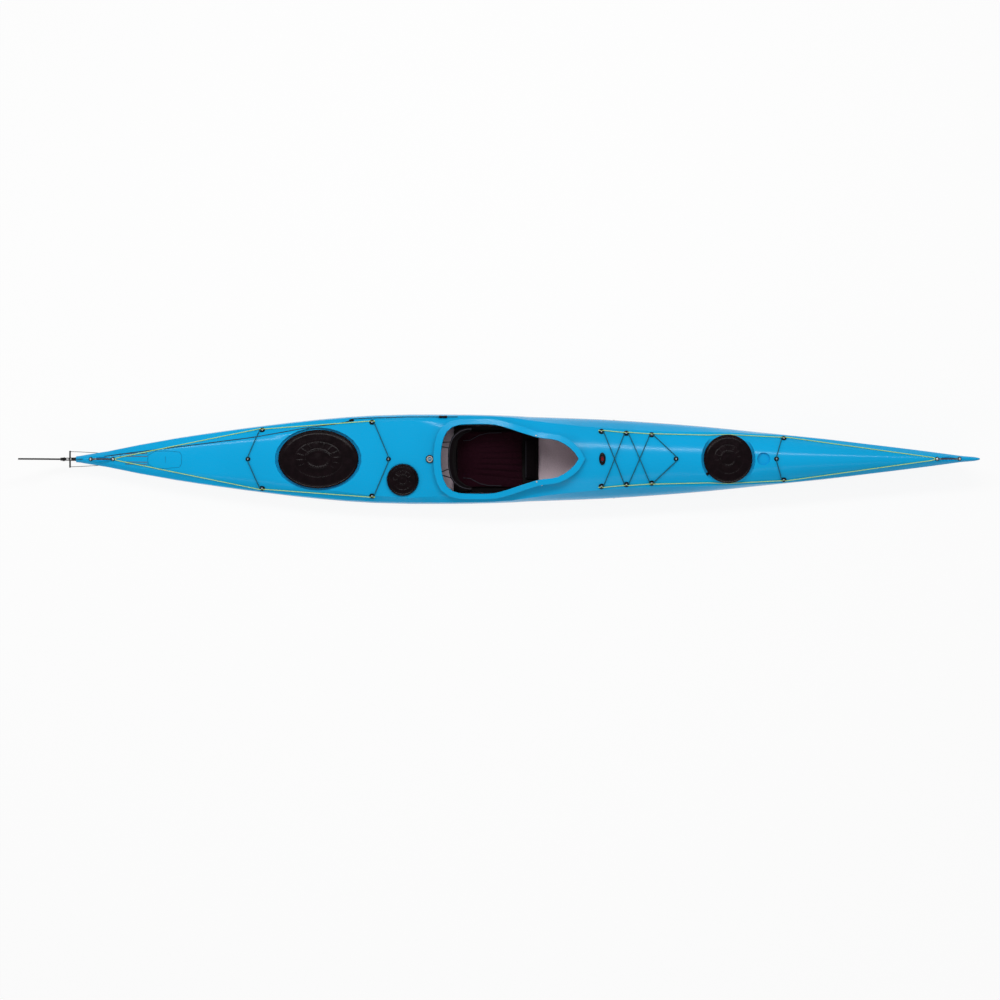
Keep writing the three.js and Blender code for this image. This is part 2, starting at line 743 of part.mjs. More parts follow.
const dayTilt = Math.atan((deckHeight(dayHatchPlace, dayHatchSide + dayHatchRadius)
  - deckHeight(dayHatchPlace, dayHatchSide - dayHatchRadius)) / (dayHatchRadius * 2));
const dayFloor = deckHeight(dayHatchPlace, dayHatchSide) - dayHatchDepth;
const hatches = {
  rear: {
    place: hatchPlace(rearHatchPlace, 0, rearHatchFloor),
    radius: rearHatchHalfWidth,
    stretch: rearHatchHalfLength / rearHatchHalfWidth,
    recess: rearHatchHalfWidth + rearRecessMargin,
  },
  day: {
    place: hatchPlace(dayHatchPlace, dayHatchSide, dayFloor, dayTilt),
    radius: dayHatchRadius,
    stretch: 1,
    recess: dayHatchRadius + dayRecessMargin,
  },
  front: {
    place: hatchPlace(frontHatchPlace, 0, frontHatchFloor),
    radius: frontHatchRadius,
    stretch: 1,
    recess: frontHatchRadius + frontRecessMargin,
    plinth: true,
  },
};

function compassHeight() {
  return deckHeight(compassPlace, compassRadius) - compassDepth;
}

// A scallop in the deck under a handle, as a shallow boat-shaped bowl.
function handleScallop(place, margin) {
  const bowl = new THREE.SphereGeometry(1, bowlSteps, bowlSteps * middleShare + 1).rotateX(quarterTurn);
  const centre = place + handleSpan * middleShare;
  const halfSizes = [handleRecessLength * middleShare, handleRecessHalfWidth, handleRecessDepth];
  bowl.scale(...halfSizes.map((size) => size + margin));
  return solid(bowl.translate(centre, 0, deckHeight(centre, 0)));
}

function deckShell() {
  const outside = deckVolume(0, 0, stationShares);
  const inside = deckVolume(shellWall, overrun, hollowStations);
  const filled = deckVolume(0, overrun * 2, stationShares);
  const pans = [];
  const cuts = [];
  const hollows = [];
  Object.values(hatches).forEach((hatch) => {
    const wide = hatch.recess + shellWall;
    pans.push(ovalPost(hatch, wide, -shellWall, deckPeak).intersect(filled));
    cuts.push(ovalPost(hatch, hatch.recess, 0, deckPeak));
    cuts.push(ovalPost(hatch, hatch.radius - rimSetback - rimWall - gap, -overrun, overrun));
    if (hatch.plinth) {
      const skirt = hatch.radius - rimSetback + shellWall * 2;
      pans.push(ovalPost(hatch, skirt, -overrun, 0));
      hollows.push(ovalPost(hatch, skirt - shellWall, -overrun * 2, -shellWall));
    }
  });
  const cup = compassHeight();
  const cupWall = post(compassPlace, 0, compassRadius + shellWall, cup - shellWall, deckPeak, compassSteps);
  pans.push(cupWall.intersect(filled));
  cuts.push(post(compassPlace, 0, compassRadius, cup, deckPeak + overrun, compassSteps));
  [bowHandlePlace, sternHandlePlace].forEach((handlePlace) => {
    pans.push(handleScallop(handlePlace, shellWall).intersect(filled));
    cuts.push(handleScallop(handlePlace, 0));
  });
  cuts.push(cockpitPrism(coamingWall + gap));
  const shell = cutAll(outside.subtract(inside), hollows);
  const plinths = cutAll(joinAll(pans), hollows);
  return cutAll(shell.add(plinths), cuts);
}

const deckBody = deckShell();
const deckGeometry = surface(deckBody);
const deckProbe = new THREE.Mesh(deckGeometry, azure);
const ray = new THREE.Raycaster();

// The deck's surface under a point, and its normal there.
function deckPoint(x, y, lift = 0) {
  ray.set(new THREE.Vector3(x, y, deckPeak * 2), UP.clone().negate());
  const hit = ray.intersectObject(deckProbe)[0];
  return hit.point.clone().addScaledVector(UP, lift);
}

// A place on the deck with its own frame: along the hull, to port and up from the surface.
function deckSeat(x, y, radius) {
  const along = deckPoint(x + radius, y).sub(deckPoint(x - radius, y)).normalize();
  const across = deckPoint(x, y + radius).sub(deckPoint(x, y - radius)).normalize();
  const up = new THREE.Vector3().crossVectors(along, across).normalize();
  const port = new THREE.Vector3().crossVectors(up, along);
  const middle = deckPoint(x, y);
  const corners = [middle.clone()];
  seatReachShares.forEach((share) => {
    for (let turn = 0; turn < seatSteps; turn += 1) {
      const angle = (turn / seatSteps) * Math.PI * 2;
      const reach = radius * share;
      corners.push(deckPoint(x + Math.cos(angle) * reach, y + Math.sin(angle) * reach));
    }
  });
  const highest = Math.max(...corners.map((corner) => corner.clone().sub(middle).dot(up)));
  middle.addScaledVector(up, highest + seatClearance);
  return {
    matrix: new THREE.Matrix4().makeBasis(along, port, up).setPosition(middle),
    at(a, b, c) {
      return new THREE.Vector3(a, b, c).applyMatrix4(this.matrix);
    },
  };
}

// Rudder cables: from the crossbar into the stern, along the inside and up to the toe pedals
const transom = -halfLength;
const railSide = sectionNear(railAft + railLength).beam - railInset;
const pedalHinge = railHeight + restTall * middleShare + hingeRadius + gap;
const pedalFace = restPlace + (restThickness - pedalThickness) * middleShare;

function cableRoute(side) {
  const start = transom - crossbarSetback + crossbarDepth * middleShare;
  const stern = cableSternPoints.map(([x, y, z]) => new THREE.Vector3(start + x, side * y, barrelHeight + z));
  const run = cableRunShares.map((share) => {
    const section = sectionAt(share);
    return new THREE.Vector3(section.x, side * (section.beam - shellWall - cableInset), section.beamHeight);
  });
  const foot = cableFootPoints.map(([x, y, z]) =>
    new THREE.Vector3(pedalFace + x, side * (railSide + y), railHeight + z));
  return [...stern, ...run, ...foot];
}

const cableTunnels = [1, -1].map((side) => solid(cord(cableRoute(side), cableRadius + gap)));

function hullShell() {
  const outside = hullVolume(0, 0, stationShares);
  return cutAll(outside.subtract(hullVolume(shellWall, overrun, hollowStations)), cableTunnels);
}

// Haul line over the stern deck, down into the hull
function haulRoute() {
  const haulHole = transom + haulHoleSetback;
  const deckEnd = deckPoint(haulHole, 0).z;
  const hub = transom - hubSetback;
  return [
    new THREE.Vector3(hub + bladeHub, 0, hubHeight + haulSternRise),
    new THREE.Vector3(transom - pinSetback, 0, hubHeight + haulSternRise + haulRadius),
    new THREE.Vector3(transom, 0, hubHeight + haulSternRise),
    new THREE.Vector3(haulHole - haulRadius * 4, 0, deckEnd + haulRadius * 3),
    new THREE.Vector3(haulHole, 0, deckEnd),
    new THREE.Vector3(haulHole + haulRadius, 0, deckEnd - shellWall * 4),
  ];
}

const haulTunnel = solid(cord(haulRoute(), haulRadius + gap, haulSteps));
add('hull_shell', surface(hullShell()), azure);
add('deck_shell', surface(deckBody.subtract(haulTunnel)), azure);
add('cockpit_coaming', coaming(), azure);

// Bulkheads, cut to the inside of the hull, with holes for the cables
const interior = interiorVolume(gap);
Object.entries(bulkheadPlaces).forEach(([name, place]) => {
  const slab = box(
    new THREE.Vector3(place, -halfBeam, -overrun),
    new THREE.Vector3(place + bulkheadThickness, halfBeam, deckPeak + overrun),
  );
  const cutters = [...cableTunnels, deckBody.translate(0, 0, -gap)];
  add(`${name}_bulkhead`, surface(cutAll(interior.intersect(slab), cutters)), azure);
});

function turned(profile, steps) {
  const points = profile.map(([r, z]) => new THREE.Vector2(r, z));
  return new THREE.LatheGeometry(points, steps).rotateX(quarterTurn);
}

// Hatch rims and covers, both turned and drawn out to the hatch's oval
function hatch(name, { place, radius, stretch }) {
  const outer = radius - rimSetback;
  const inner = outer - rimWall;
  const rim = [
    [inner, gap], [outer, gap], [outer, rimHeight - gap], [inner, rimHeight - gap], [inner, gap],
  ];
  const skirt = outer + gap * 2;
  const cover = [
    [0, rimHeight], [skirt, rimHeight], [skirt, coverSkirt], [radius, coverSkirt],
    [radius, coverEdge - coverTop], [radius - coverTop, coverEdge],
    [radius * coverCrownShare, coverEdge + coverCrown], [0, coverEdge + coverCrown + coverTop],
  ];
  kayak.add(place);
  add(`${name}_hatch_rim`, turned(rim, hatchSteps).scale(stretch, 1, 1), black, place);
  add(`${name}_hatch_cover`, turned(cover, hatchSteps).scale(stretch, 1, 1), rubber, place);
}

Object.entries(hatches).forEach(([name, values]) => hatch(name, values));

// Deck fittings: a round base with an upright eye that the cords run through
function eyeBody(radius) {
  const base = solid(new THREE.CylinderGeometry(radius, radius, fittingBase, bowlSteps)
    .rotateX(quarterTurn).translate(0, 0, fittingBase * middleShare));
  const arch = new THREE.Shape();
  arch.moveTo(-eyeHalfWidth, 0);
  arch.lineTo(eyeHalfWidth, 0);
  arch.lineTo(eyeHalfWidth, eyeLeg);
  arch.absarc(0, eyeLeg, eyeHalfWidth, 0, Math.PI, false);
  const hole = new THREE.Path();
  hole.moveTo(eyeHole, fittingBase * middleShare);
  hole.absarc(0, eyeLeg, eyeHole, 0, Math.PI, false);
  hole.lineTo(-eyeHole, fittingBase * middleShare);
  arch.holes.push(hole);
  const settings = { depth: eyeThickness, bevelEnabled: false, curveSegments: eyeSteps };
  const eye = new THREE.ExtrudeGeometry(arch, settings).translate(0, 0, -eyeThickness * middleShare);
  eye.rotateX(quarterTurn).rotateZ(quarterTurn).translate(0, 0, fittingBase * middleShare);
  return base.add(solid(eye));
}

const sideEye = surface(eyeBody(fittingRadius));
const centreEye = surface(eyeBody(ringRadius)).rotateZ(quarterTurn);
const seatOn = (mesh, seat) => mesh.applyMatrix4(seat.matrix);

const sideSeats = Object.entries(fittingPlaces).map(([name, [x, inset]]) => sides.map(([sideName, side]) => {
  const seat = deckSeat(x, side * (sectionNear(x).sheer - inset), fittingRadius);
  seatOn(add(`${name}_fitting_${sideName}`, sideEye, black), seat);
  return seat;
}));
const ringSeats = Object.entries(ringPlaces).map(([name, x]) => {
  const seat = deckSeat(x, 0, ringRadius);
  seatOn(add(`${name}_ring`, centreEye, black), seat);
  return seat;
});
const [sternRingSeat, dayRingSeat, foreRingSeat, bowRingSeat] = ringSeats;

// Cords on deck
const lineHeight = fittingBase + lineRadius + cordClearance;
const bungeeHeight = fittingBase + bungeeRadius + cordClearance;

// Points of a cord on the deck between two places, with an extra rise at its middle.
function overDeck(from, to, radius, steps, rise = 0) {
  const points = [];
  for (let i = 1; i < steps; i += 1) {
    const spot = from.clone().lerp(to, i / steps);
    const lift = radius + cordLift + rise * Math.sin((i / steps) * Math.PI) ** 2;
    points.push(deckPoint(spot.x, spot.y, lift));
  }
  return points;
}

function lineThrough(seat, side) {
  const across = side * -lineSide;
  return [-1, 1].map((way) => seat.at(way * fittingRadius, across, lineHeight));
}

// The bungee's points at a side eye, coming in on one side of it and leaving on the other.
function bungeeThrough(seat, side, way) {
  const inward = -side;
  const near = bungeeSide * inward;
  const far = eyeHole * eyeInShare * inward;
  const out = way * eyeHole * eyeOutShare;
  const by = way * eyeHole * eyeNearShare;
  return [[-out, far], [-by, near], [by, near], [out, far]].map(([along, across]) =>
    seat.at(along, across, bungeeHeight));
}

function ringThrough(seat, side) {
  return [1, -1].map((way) => seat.at(0, way * side * ringRadius, bungeeHeight));
}

// Joins the stretches of a cord, with points over the deck between one stretch and the next.
function strung(stretches, radius, steps, rises = []) {
  return stretches.flatMap((stretch, i) => {
    if (i === 0) return stretch;
    const last = stretches[i - 1][stretches[i - 1].length - 1];
    return [...overDeck(last, stretch[0], radius, steps, rises[i - 1]), ...stretch];
  });
}

const lineEndSetback = handleLug + gap + lineRadius + cordClearance;

function lineTurn(x, way) {
  const point = (back, y) => deckPoint(x + way * (lineEndSetback + back), y, lineRadius + cordLift);
  return [point(handleLug * 2, handleLug), point(lineRadius, handleLug * middleShare), point(0, 0),
    point(lineRadius, -handleLug * middleShare), point(handleLug * 2, -handleLug)];
}

function deckLine(seats, between, turn) {
  const port = seats.map(([seat]) => lineThrough(seat, 1));
  const starboard = seats.map(([, seat]) => lineThrough(seat, -1).reverse()).reverse();
  const extra = (side) => between.map(([along, across]) =>
    [deckPoint(frontHatchPlace + along * frontHatchRadius, side * across * halfBeam, lineRadius + cordLift)]);
  const portRun = [...port.slice(0, -1), ...extra(1), port[port.length - 1]];
  const starboardRun = [starboard[0], ...extra(-1).reverse(), ...starboard.slice(1)];
  return strung([...portRun, turn, ...starboardRun], lineRadius, lineSteps);
}

const [sternPair, aftPair, ...forePairs] = sideSeats;
const bowLine = deckLine(forePairs, bowLineShares, lineTurn(bowHandlePlace, -1));
add('bow_deckline', cord(bowLine, lineRadius), yellow);
const sternLine = [
  lineThrough(aftPair[0], 1).reverse(), lineThrough(sternPair[0], 1).reverse(),
  lineTurn(sternHandlePlace + handleSpan, 1), lineThrough(sternPair[1], -1), lineThrough(aftPair[1], -1),
];
add('stern_deckline', cord(strung(sternLine, lineRadius, aftSteps), lineRadius), yellow);

const bungeeLift = bungeeRadius * 2 + cordClearance * 2;
const [[p1, s1], [p2, s2], [p3, s3], [p4, s4]] = forePairs;
const crossing = strung([
  bungeeThrough(p1, 1, 1).slice(1), bungeeThrough(s2, -1, 1), bungeeThrough(p3, 1, 1),
  ringThrough(foreRingSeat, 1),
  bungeeThrough(s3, -1, -1), bungeeThrough(p2, 1, -1), bungeeThrough(s1, -1, -1).slice(0, -1),
], bungeeRadius, crossingSteps, [0, 0, 0, 0, bungeeLift, bungeeLift]);
add('foredeck_bungee', cord(crossing, bungeeRadius), green);

function plainBungee(port, ring, starboard, way, steps = lineSteps) {
  const start = bungeeThrough(port, 1, way).slice(1);
  const end = bungeeThrough(starboard, -1, -way).slice(0, -1);
  return strung([start, ringThrough(ring, 1), end], bungeeRadius, steps);
}

add('bow_bungee', cord(plainBungee(p4, bowRingSeat, s4, -1), bungeeRadius), green);
add('day_bungee', cord(plainBungee(aftPair[0], dayRingSeat, aftPair[1], 1), bungeeRadius), green);
const sternRun = plainBungee(sternPair[0], sternRingSeat, sternPair[1], -1, aftSteps);
add('stern_bungee', cord(sternRun, bungeeRadius), green);

// Carrying handles: a round grip moulded onto two lugs
function handle(name, x) {
  const seats = [x, x + handleSpan].map((end) => deckSeat(end, 0, handleLug));
  const lugs = seats.map((seat) => {
    const lug = new THREE.CylinderGeometry(handleLug, handleLug, handleLugThickness, boltSteps);
    lug.rotateX(quarterTurn).translate(0, 0, handleLugThickness * middleShare);
    return solid(lug.applyMatrix4(seat.matrix));
  });
  const [aft, fore] = seats;
  const mid = (share, lift) => aft.at(0, 0, lift).lerp(fore.at(0, 0, lift), share);
  const arch = [
    aft.at(0, 0, handleRadius),
    ...handleRiseShares.map(([share, rise]) => mid(share, handleRadius + rise * handleRise)),
    fore.at(0, 0, handleRadius),
  ];
  const grip = solid(cord(arch, handleRadius, haulSteps));
  const clear = deckBody.translate(0, 0, gap);
  add(name, surface(joinAll([grip, ...lugs]).subtract(clear)), black);
}

handle('bow_handle', bowHandlePlace);
handle('stern_handle', sternHandlePlace);

// Security ring and pump outlet
const turnedRing = (profile, steps = ringSteps) => turned([...profile, profile[0]], steps);

// A low ring with its outer edge bevelled over half its height.
function bevelledRing(hole, radius, height) {
  const bevel = height * middleShare;
  return turnedRing([[hole, 0], [radius, 0], [radius, bevel], [radius - bevel, height], [hole, height]]);
}

const securityRing = bevelledRing(securityRingHole, securityRingRadius, securityRingHeight);
const securitySeat = deckSeat(cockpitAft - securityRingSetback, 0, securityRingRadius);
seatOn(add('security_ring', securityRing, steel), securitySeat);
const outlet = bevelledRing(pumpOutletHole, pumpOutletHalfLength, pumpOutletHeight)
  .scale(1, pumpOutletHalfWidth / pumpOutletHalfLength, 1);
seatOn(add('pump_outlet', outlet, black), deckSeat(onForedeck(pumpOutletShare), 0, pumpOutletHalfLength));

// Rudder
const pinPlace = transom - pinSetback;
const hubPlace = transom - hubSetback;
const barrelLow = barrelHeight - barrelHalfHeight;
const barrelHigh = barrelHeight + barrelHalfHeight;
const lugTop = barrelHigh + gap;
const lugBottom = barrelLow - gap;

function rudderBracket() {
  const plate = box(
    new THREE.Vector3(transom - gap - plateThickness, -plateHalfWidth, lugBottom - lugThickness),
    new THREE.Vector3(transom - gap, plateHalfWidth, lugTop + lugThickness),
  );
  const levels = [[lugTop, lugTop + lugThickness], [lugBottom - lugThickness, lugBottom]];
  const lugs = levels.flatMap(([low, high]) => [
    box(
      new THREE.Vector3(pinPlace, -barrelRadius, low),
      new THREE.Vector3(transom - gap - plateThickness * middleShare, barrelRadius, high),
    ),
    post(pinPlace, 0, barrelRadius, low, high),
  ]);
  const hole = post(pinPlace, 0, pinRadius + gap, lugBottom - overrun, lugTop + overrun);
  return joinAll([plate, ...lugs]).subtract(hole);
}

function rudderPin() {
  const top = lugTop + lugThickness + gap;
  const shank = post(pinPlace, 0, pinRadius, lugBottom - lugThickness - gap, top + gap);
  return shank.add(post(pinPlace, 0, pinHead, top, top + pinHeadHeight));
}

function rudderYoke() {
  const barrel = post(pinPlace, 0, barrelRadius, barrelLow, barrelHigh);
  const bar = transom - crossbarSetback;
  const halfDepth = crossbarDepth * middleShare;
  const halfHeight = crossbarHeight * middleShare;
  const crossbar = box(
    new THREE.Vector3(bar - halfDepth, -crossbarHalfLength, barrelHeight - halfHeight),
    new THREE.Vector3(bar + halfDepth, crossbarHalfLength, barrelHeight + halfHeight),
  );
  const inner = bladeThickness * middleShare + sideClearance;
  const outer = inner + cheekThickness;
  const block = box(
    new THREE.Vector3(pinPlace - barrelRadius * yokeReachShare, -outer, barrelHeight - cheekHalfHeight),
    new THREE.Vector3(pinPlace, outer, barrelHeight + cheekHalfHeight),
  );
  const cheeks = [-1, 1].flatMap((side) => {
    const [start, end] = side < 0 ? [-outer, -inner] : [inner, outer];
    return [
      axle(hubPlace, hubHeight, cheekRadius, start, end),
      box(
        new THREE.Vector3(hubPlace, start, barrelHeight - cheekHalfHeight),
        new THREE.Vector3(pinPlace, end, barrelHeight + cheekHalfHeight),
      ),
    ];
  });
  const bore = post(pinPlace, 0, pinRadius + gap, lugBottom, lugTop);
  const boltHole = axle(hubPlace, hubHeight, boltRadius + gap, -crossbarHalfLength, crossbarHalfLength);
  return joinAll([barrel, crossbar, block, ...cheeks]).subtract(bore).subtract(boltHole);
}

function rudderBlade() {
  const outline = bladeShares.map(([along, across]) =>
    new THREE.Vector2(-along * bladeLength, across * bladeWidth));
  const settings = { depth: bladeThickness, bevelEnabled: false };
  const plate = new THREE.ExtrudeGeometry(new THREE.Shape(outline), settings);
  plate.translate(0, 0, -bladeThickness * middleShare).rotateX(quarterTurn);
  plate.rotateY(THREE.MathUtils.degToRad(bladeRaise)).translate(hubPlace, 0, hubHeight);
  const halfThickness = bladeThickness * middleShare;
  const hub = axle(hubPlace, hubHeight, bladeHub, -halfThickness, halfThickness, hubSteps);
  const hole = axle(hubPlace, hubHeight, boltRadius + gap, -bladeThickness, bladeThickness);
  return solid(plate).add(hub).subtract(hole);
}

function bladeBolt() {
  const reach = bladeThickness * middleShare + sideClearance + cheekThickness + gap;
  return joinAll([
    axle(hubPlace, hubHeight, boltRadius, -reach, reach),
    axle(hubPlace, hubHeight, boltHead, reach, reach + boltHeadHeight, boltSteps),
    axle(hubPlace, hubHeight, boltHead, -reach - boltHeadHeight, -reach, boltSteps),
  ]);
}

add('rudder_bracket', surface(rudderBracket()), black);
add('rudder_pin', surface(rudderPin()), steel);
add('rudder_yoke', surface(rudderYoke()), black);
add('rudder_blade', surface(rudderBlade()), black);
add('blade_bolt', surface(bladeBolt()), steel);
sides.forEach(([name, side]) => {
  add(`rudder_cable_${name}`, cord(cableRoute(side), cableRadius), blackCord);
});
add('rudder_haul_line', cord(haulRoute(), haulRadius, haulSteps), blackCord);

// Haul line and toggle on the port deck edge
const togglePlace = cockpitAft + toggleSetback;
const haulAft = onAftDeck(haulAftShare);
const toggleStart = togglePlace - toggleTravel - toggleLength;
const toggleEnd = togglePlace + toggleLength;
const edgeSide = (x) => sectionNear(x).sheer - haulInset;
const toggleSide = edgeSide(togglePlace);
const toggleHeight = deckPoint(toggleEnd, toggleSide).z + toggleRadius + cordLift;
const onEdge = (x, lift) => deckPoint(x, edgeSide(x), lift);
const toggleLineRoute = [
  onEdge(haulAft, haulRadius + cordClearance),
  onEdge(THREE.MathUtils.lerp(haulAft, toggleStart, haulMiddleShare), toggleRadius),
  new THREE.Vector3(toggleStart, toggleSide, toggleHeight),
  new THREE.Vector3(togglePlace, toggleSide, toggleHeight),
  new THREE.Vector3(toggleEnd, toggleSide, toggleHeight),
  onEdge(cockpitAft + haulFrontSetback, haulRadius + cordClearance),
];
add('toggle_line', cord(toggleLineRoute, haulRadius), blackCord);
const toggleHalf = toggleLength * middleShare;
const toggle = turnedRing([
  [haulRadius + gap, -toggleHalf],
  ...toggleShares.map(([out, along]) => [out * toggleRadius, along * toggleHalf]),
  [haulRadius + gap, toggleHalf],
], boltSteps).rotateY(quarterTurn).translate(togglePlace, toggleSide, toggleHeight);
add('haul_toggle', toggle, black);

// Seat pan: a moulded tray on the hull floor with raised hips
const panBase = shellWall + gap;
const hipCurve = smoothCurve(hipShares);
const panSlope = (seatBilge - panBase) / (seatHalfWidth - seatHalfFloor);
const panTop = (y) => panBase + seatWall + Math.max(Math.abs(y) - seatHalfFloor, 0) * panSlope;

function seatPan() {
  const rings = hipShares.map(([share]) => {
    const x = seatAft + share * seatLength;
    const hip = hipCurve(share) * seatHip;
    const inner = seatHalfWidth - seatWall;
    const half = [
      [0, panBase - gap], [seatHalfFloor, panBase - gap],
      [seatHalfWidth, seatBilge - seatWall], [seatHalfWidth, hip],
      [inner, hip], [inner, panTop(inner)], [seatHalfFloor, panTop(0)], [0, panTop(0)],
    ];
    const outer = half.slice(0, 4);
    const within = half.slice(4);
    const ring = [...outer, ...within, ...within.slice(0, -1).reverse().map(([y, z]) => [-y, z]),
      ...outer.slice(1).reverse().map(([y, z]) => [-y, z])];
    return ring.map(([y, z]) => new THREE.Vector3(x, y, z));
  });
  return solid(loft(rings)).intersect(interior);
}

// A padded seat part on the pan: crowned, drawn in at its edges, with channels along it.
function pad({ start, length, halfWidth, thickness, crown, steps, ribs = 0, channel = 0 }) {
  const rings = [];
  for (let r = 0; r <= padRowSteps; r += 1) {
    const u = (r / padRowSteps) * 2 - 1;
    const end = Math.sqrt(1 - Math.abs(u) ** 6 * padEndShare);
    const width = halfWidth * (1 - padTaperShare * u * u);
    const top = [];
    const bottom = [];
    for (let i = 0; i <= steps; i += 1) {
      const v = (i / steps) * 2 - 1;
      const edge = Math.sqrt(1 - Math.abs(v) ** 4 * padEdgeShare);
      const groove = ribs ? channel * Math.abs(Math.cos(v * ribs * quarterTurn)) : channel;
      const under = panTop(v * width) + gap;
      const x = start + (r / padRowSteps) * length;
      const swell = (thickness + crown * (1 - v * v)) * end * edge - (channel - groove) * end * edge;
      top.push(new THREE.Vector3(x, v * width, under + swell));
      if (i % padUnderSteps === 0) bottom.push(new THREE.Vector3(x, v * width, under));
    }
    rings.push([...top, ...bottom.reverse()]);
  }
  return loft(rings);
}

add('seat_pan', surface(seatPan()), black);
add('seat_cushion', pad({
  start: cushionStart,
  length: cushionLength,
  halfWidth: cushionHalfWidth,
  thickness: cushionThickness,
  crown: cushionCrown,
  steps: cushionSteps,
  ribs: cushionRibSteps,
  channel: cushionCrown,
}), fabric);
add('thigh_support', pad({
  start: supportStart,
  length: supportLength,
  halfWidth: supportHalfWidth,
  thickness: supportThickness,
  crown: cushionCrown,
  steps: supportSteps,
}), black);

// Backrest: a band round the paddler's back with a pivot disc on each wing
function backrest() {
  const half = backrestShares.map(([along, side, top]) => new THREE.Vector3(
    cockpitAft + along * cockpitLength, side * cockpitHalfWidth, top * backrestTop));
  const plan = new THREE.CatmullRomCurve3([
    ...half.slice(1).reverse().map((point) => new THREE.Vector3(point.x, -point.y, point.z)), ...half,
  ], false, 'centripetal');
  const rings = [];
  for (let i = 0; i <= backrestSteps; i += 1) {
    const share = i / backrestSteps;
    const point = plan.getPoint(share);
    const tangent = plan.getTangent(share).setZ(0).normalize();
    const out = new THREE.Vector3(-tangent.y, tangent.x, 0);
    const taper = 1 - wingTaperShare * Math.abs(share * 2 - 1) ** 4;
    const thick = backrestThickness * taper * middleShare;
    const height = point.z - backrestBottom;
    rings.push(bandShares.map(([offset, rise]) =>
      point.clone().addScaledVector(out, offset * thick).setZ(backrestBottom + rise * height)));
  }
  const start = backrestShares[backrestShares.length - 1][1] * cockpitHalfWidth;
  const end = seatHalfWidth - seatWall - gap;
  const pivotPlace = cockpitAft + backrestPivotShare * cockpitLength;
  const discs = [[start, end], [-end, -start]].map(([low, high]) =>
    axle(pivotPlace, backrestPivotHeight, backrestPivotRadius, low, high, pivotSteps));
  return joinAll([solid(loft(rings)), ...discs]);
}

add('backrest', surface(backrest()), black);

// Thigh braces: padded plates that follow the underside of the deck
const underDeck = deckVolume(shellWall + gap, overrun, hollowStations)
  .subtract(deckVolume(shellWall + gap + braceThickness, overrun * 2, hollowStations))
  .subtract(cockpitPrism(coamingWall + gap * 2));
sides.forEach(([name, side]) => {
  const [low, high] = side > 0 ? [0, braceHalfWidth] : [-braceHalfWidth, 0];
  const region = box(
    new THREE.Vector3(braceAft, low, deckPeak * middleShare),
    new THREE.Vector3(braceAft + braceLength, high, deckPeak + overrun),
  );
  add(`thigh_brace_${name}`, surface(underDeck.intersect(region)), black);
});

// Foot rails with bosses on the hull side, sliding rests and hinged toe pedals
const across = (side, inside, outside) => (side > 0 ? [inside, outside] : [-outside, -inside]);

function footRail(side) {
  const halfWidth = railWidth * middleShare;
  const bar = (start, end, inside, outside) => {
    const [near, far] = across(side, inside, outside);
    return box(
      new THREE.Vector3(start, near, railHeight - railTall * middleShare),
      new THREE.Vector3(end, far, railHeight + railTall * middleShare),
    );
  };
  const rail = bar(railAft, railAft + railLength, railSide - halfWidth, railSide + halfWidth);
  const bosses = [railAft, railAft + railLength - railBoss].map((start) =>
    bar(start, start + railBoss, railSide + halfWidth - gap, halfBeam));
  return joinAll([rail, ...bosses]).intersect(interior);
}

const restInner = railSide - restWidth;
const restOuter = railSide + railWidth * middleShare + restWrap;
const earInner = restInner + hingeRadius;
const earOuter = railSide - railWidth;
const hingePlace = restPlace + restThickness * middleShare;

function footRest(side) {
  const [near, far] = across(side, restInner, restOuter);
  const low = railHeight - restTall * middleShare;
  const high = railHeight + restTall * middleShare;
  const block = box(
    new THREE.Vector3(restPlace, near, low),
    new THREE.Vector3(restPlace + restThickness, far, high),
  );
  const slotHalf = railWidth * middleShare + restClearance;
  const slotTall = railTall * middleShare + restClearance;
  const [slotNear, slotFar] = across(side, railSide - slotHalf, railSide + slotHalf);
  const slot = box(
    new THREE.Vector3(restPlace - overrun, slotNear, railHeight - slotTall),
    new THREE.Vector3(restPlace + restThickness + overrun, slotFar, railHeight + slotTall),
  );
  const earSpans = [[restInner, earInner - gap], [earOuter + gap, earOuter + hingeRadius]];
  const ears = earSpans.map(([inside, outside]) => {
    const [start, end] = across(side, inside, outside);
    return axle(hingePlace, pedalHinge, hingeRadius + gap * 2, start, end, pivotSteps).add(box(
      new THREE.Vector3(hingePlace - hingeRadius, start, high - gap),
      new THREE.Vector3(hingePlace + hingeRadius, end, pedalHinge),
    ));
  });
  const [start, end] = across(side, restInner - overrun, earOuter + overrun);
  const hole = axle(hingePlace, pedalHinge, hingeRadius * middleShare + gap, start, end, pivotSteps);
  return joinAll([block, ...ears]).subtract(slot).subtract(hole);
}

function toePedal(side) {
  const [near, far] = across(side, earInner, earOuter);
  const [pinNear, pinFar] = across(side, restInner + gap, earOuter + hingeRadius - gap);
  const plate = box(
    new THREE.Vector3(hingePlace - pedalThickness * middleShare, near, pedalHinge),
    new THREE.Vector3(hingePlace + pedalThickness * middleShare, far, pedalHinge + pedalTall),
  );
  return joinAll([
    plate, axle(hingePlace, pedalHinge, hingeRadius, near, far, pivotSteps),
    axle(hingePlace, pedalHinge, hingeRadius * middleShare, pinNear, pinFar, pivotSteps),
  ]);
}

sides.forEach(([name, side]) => {
  add(`foot_rail_${name}`, surface(footRail(side)), black);
  add(`footrest_${name}`, surface(footRest(side)), black);
  add(`toe_pedal_${name}`, surface(toePedal(side)), black);
});

export default kayak;
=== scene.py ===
"""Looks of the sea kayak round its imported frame. Metres, +X to the bow, +Y to port, +Z up."""

import json
import math

import bmesh
import bpy
from mathutils import Matrix, Vector
from mathutils.bvhtree import BVHTree


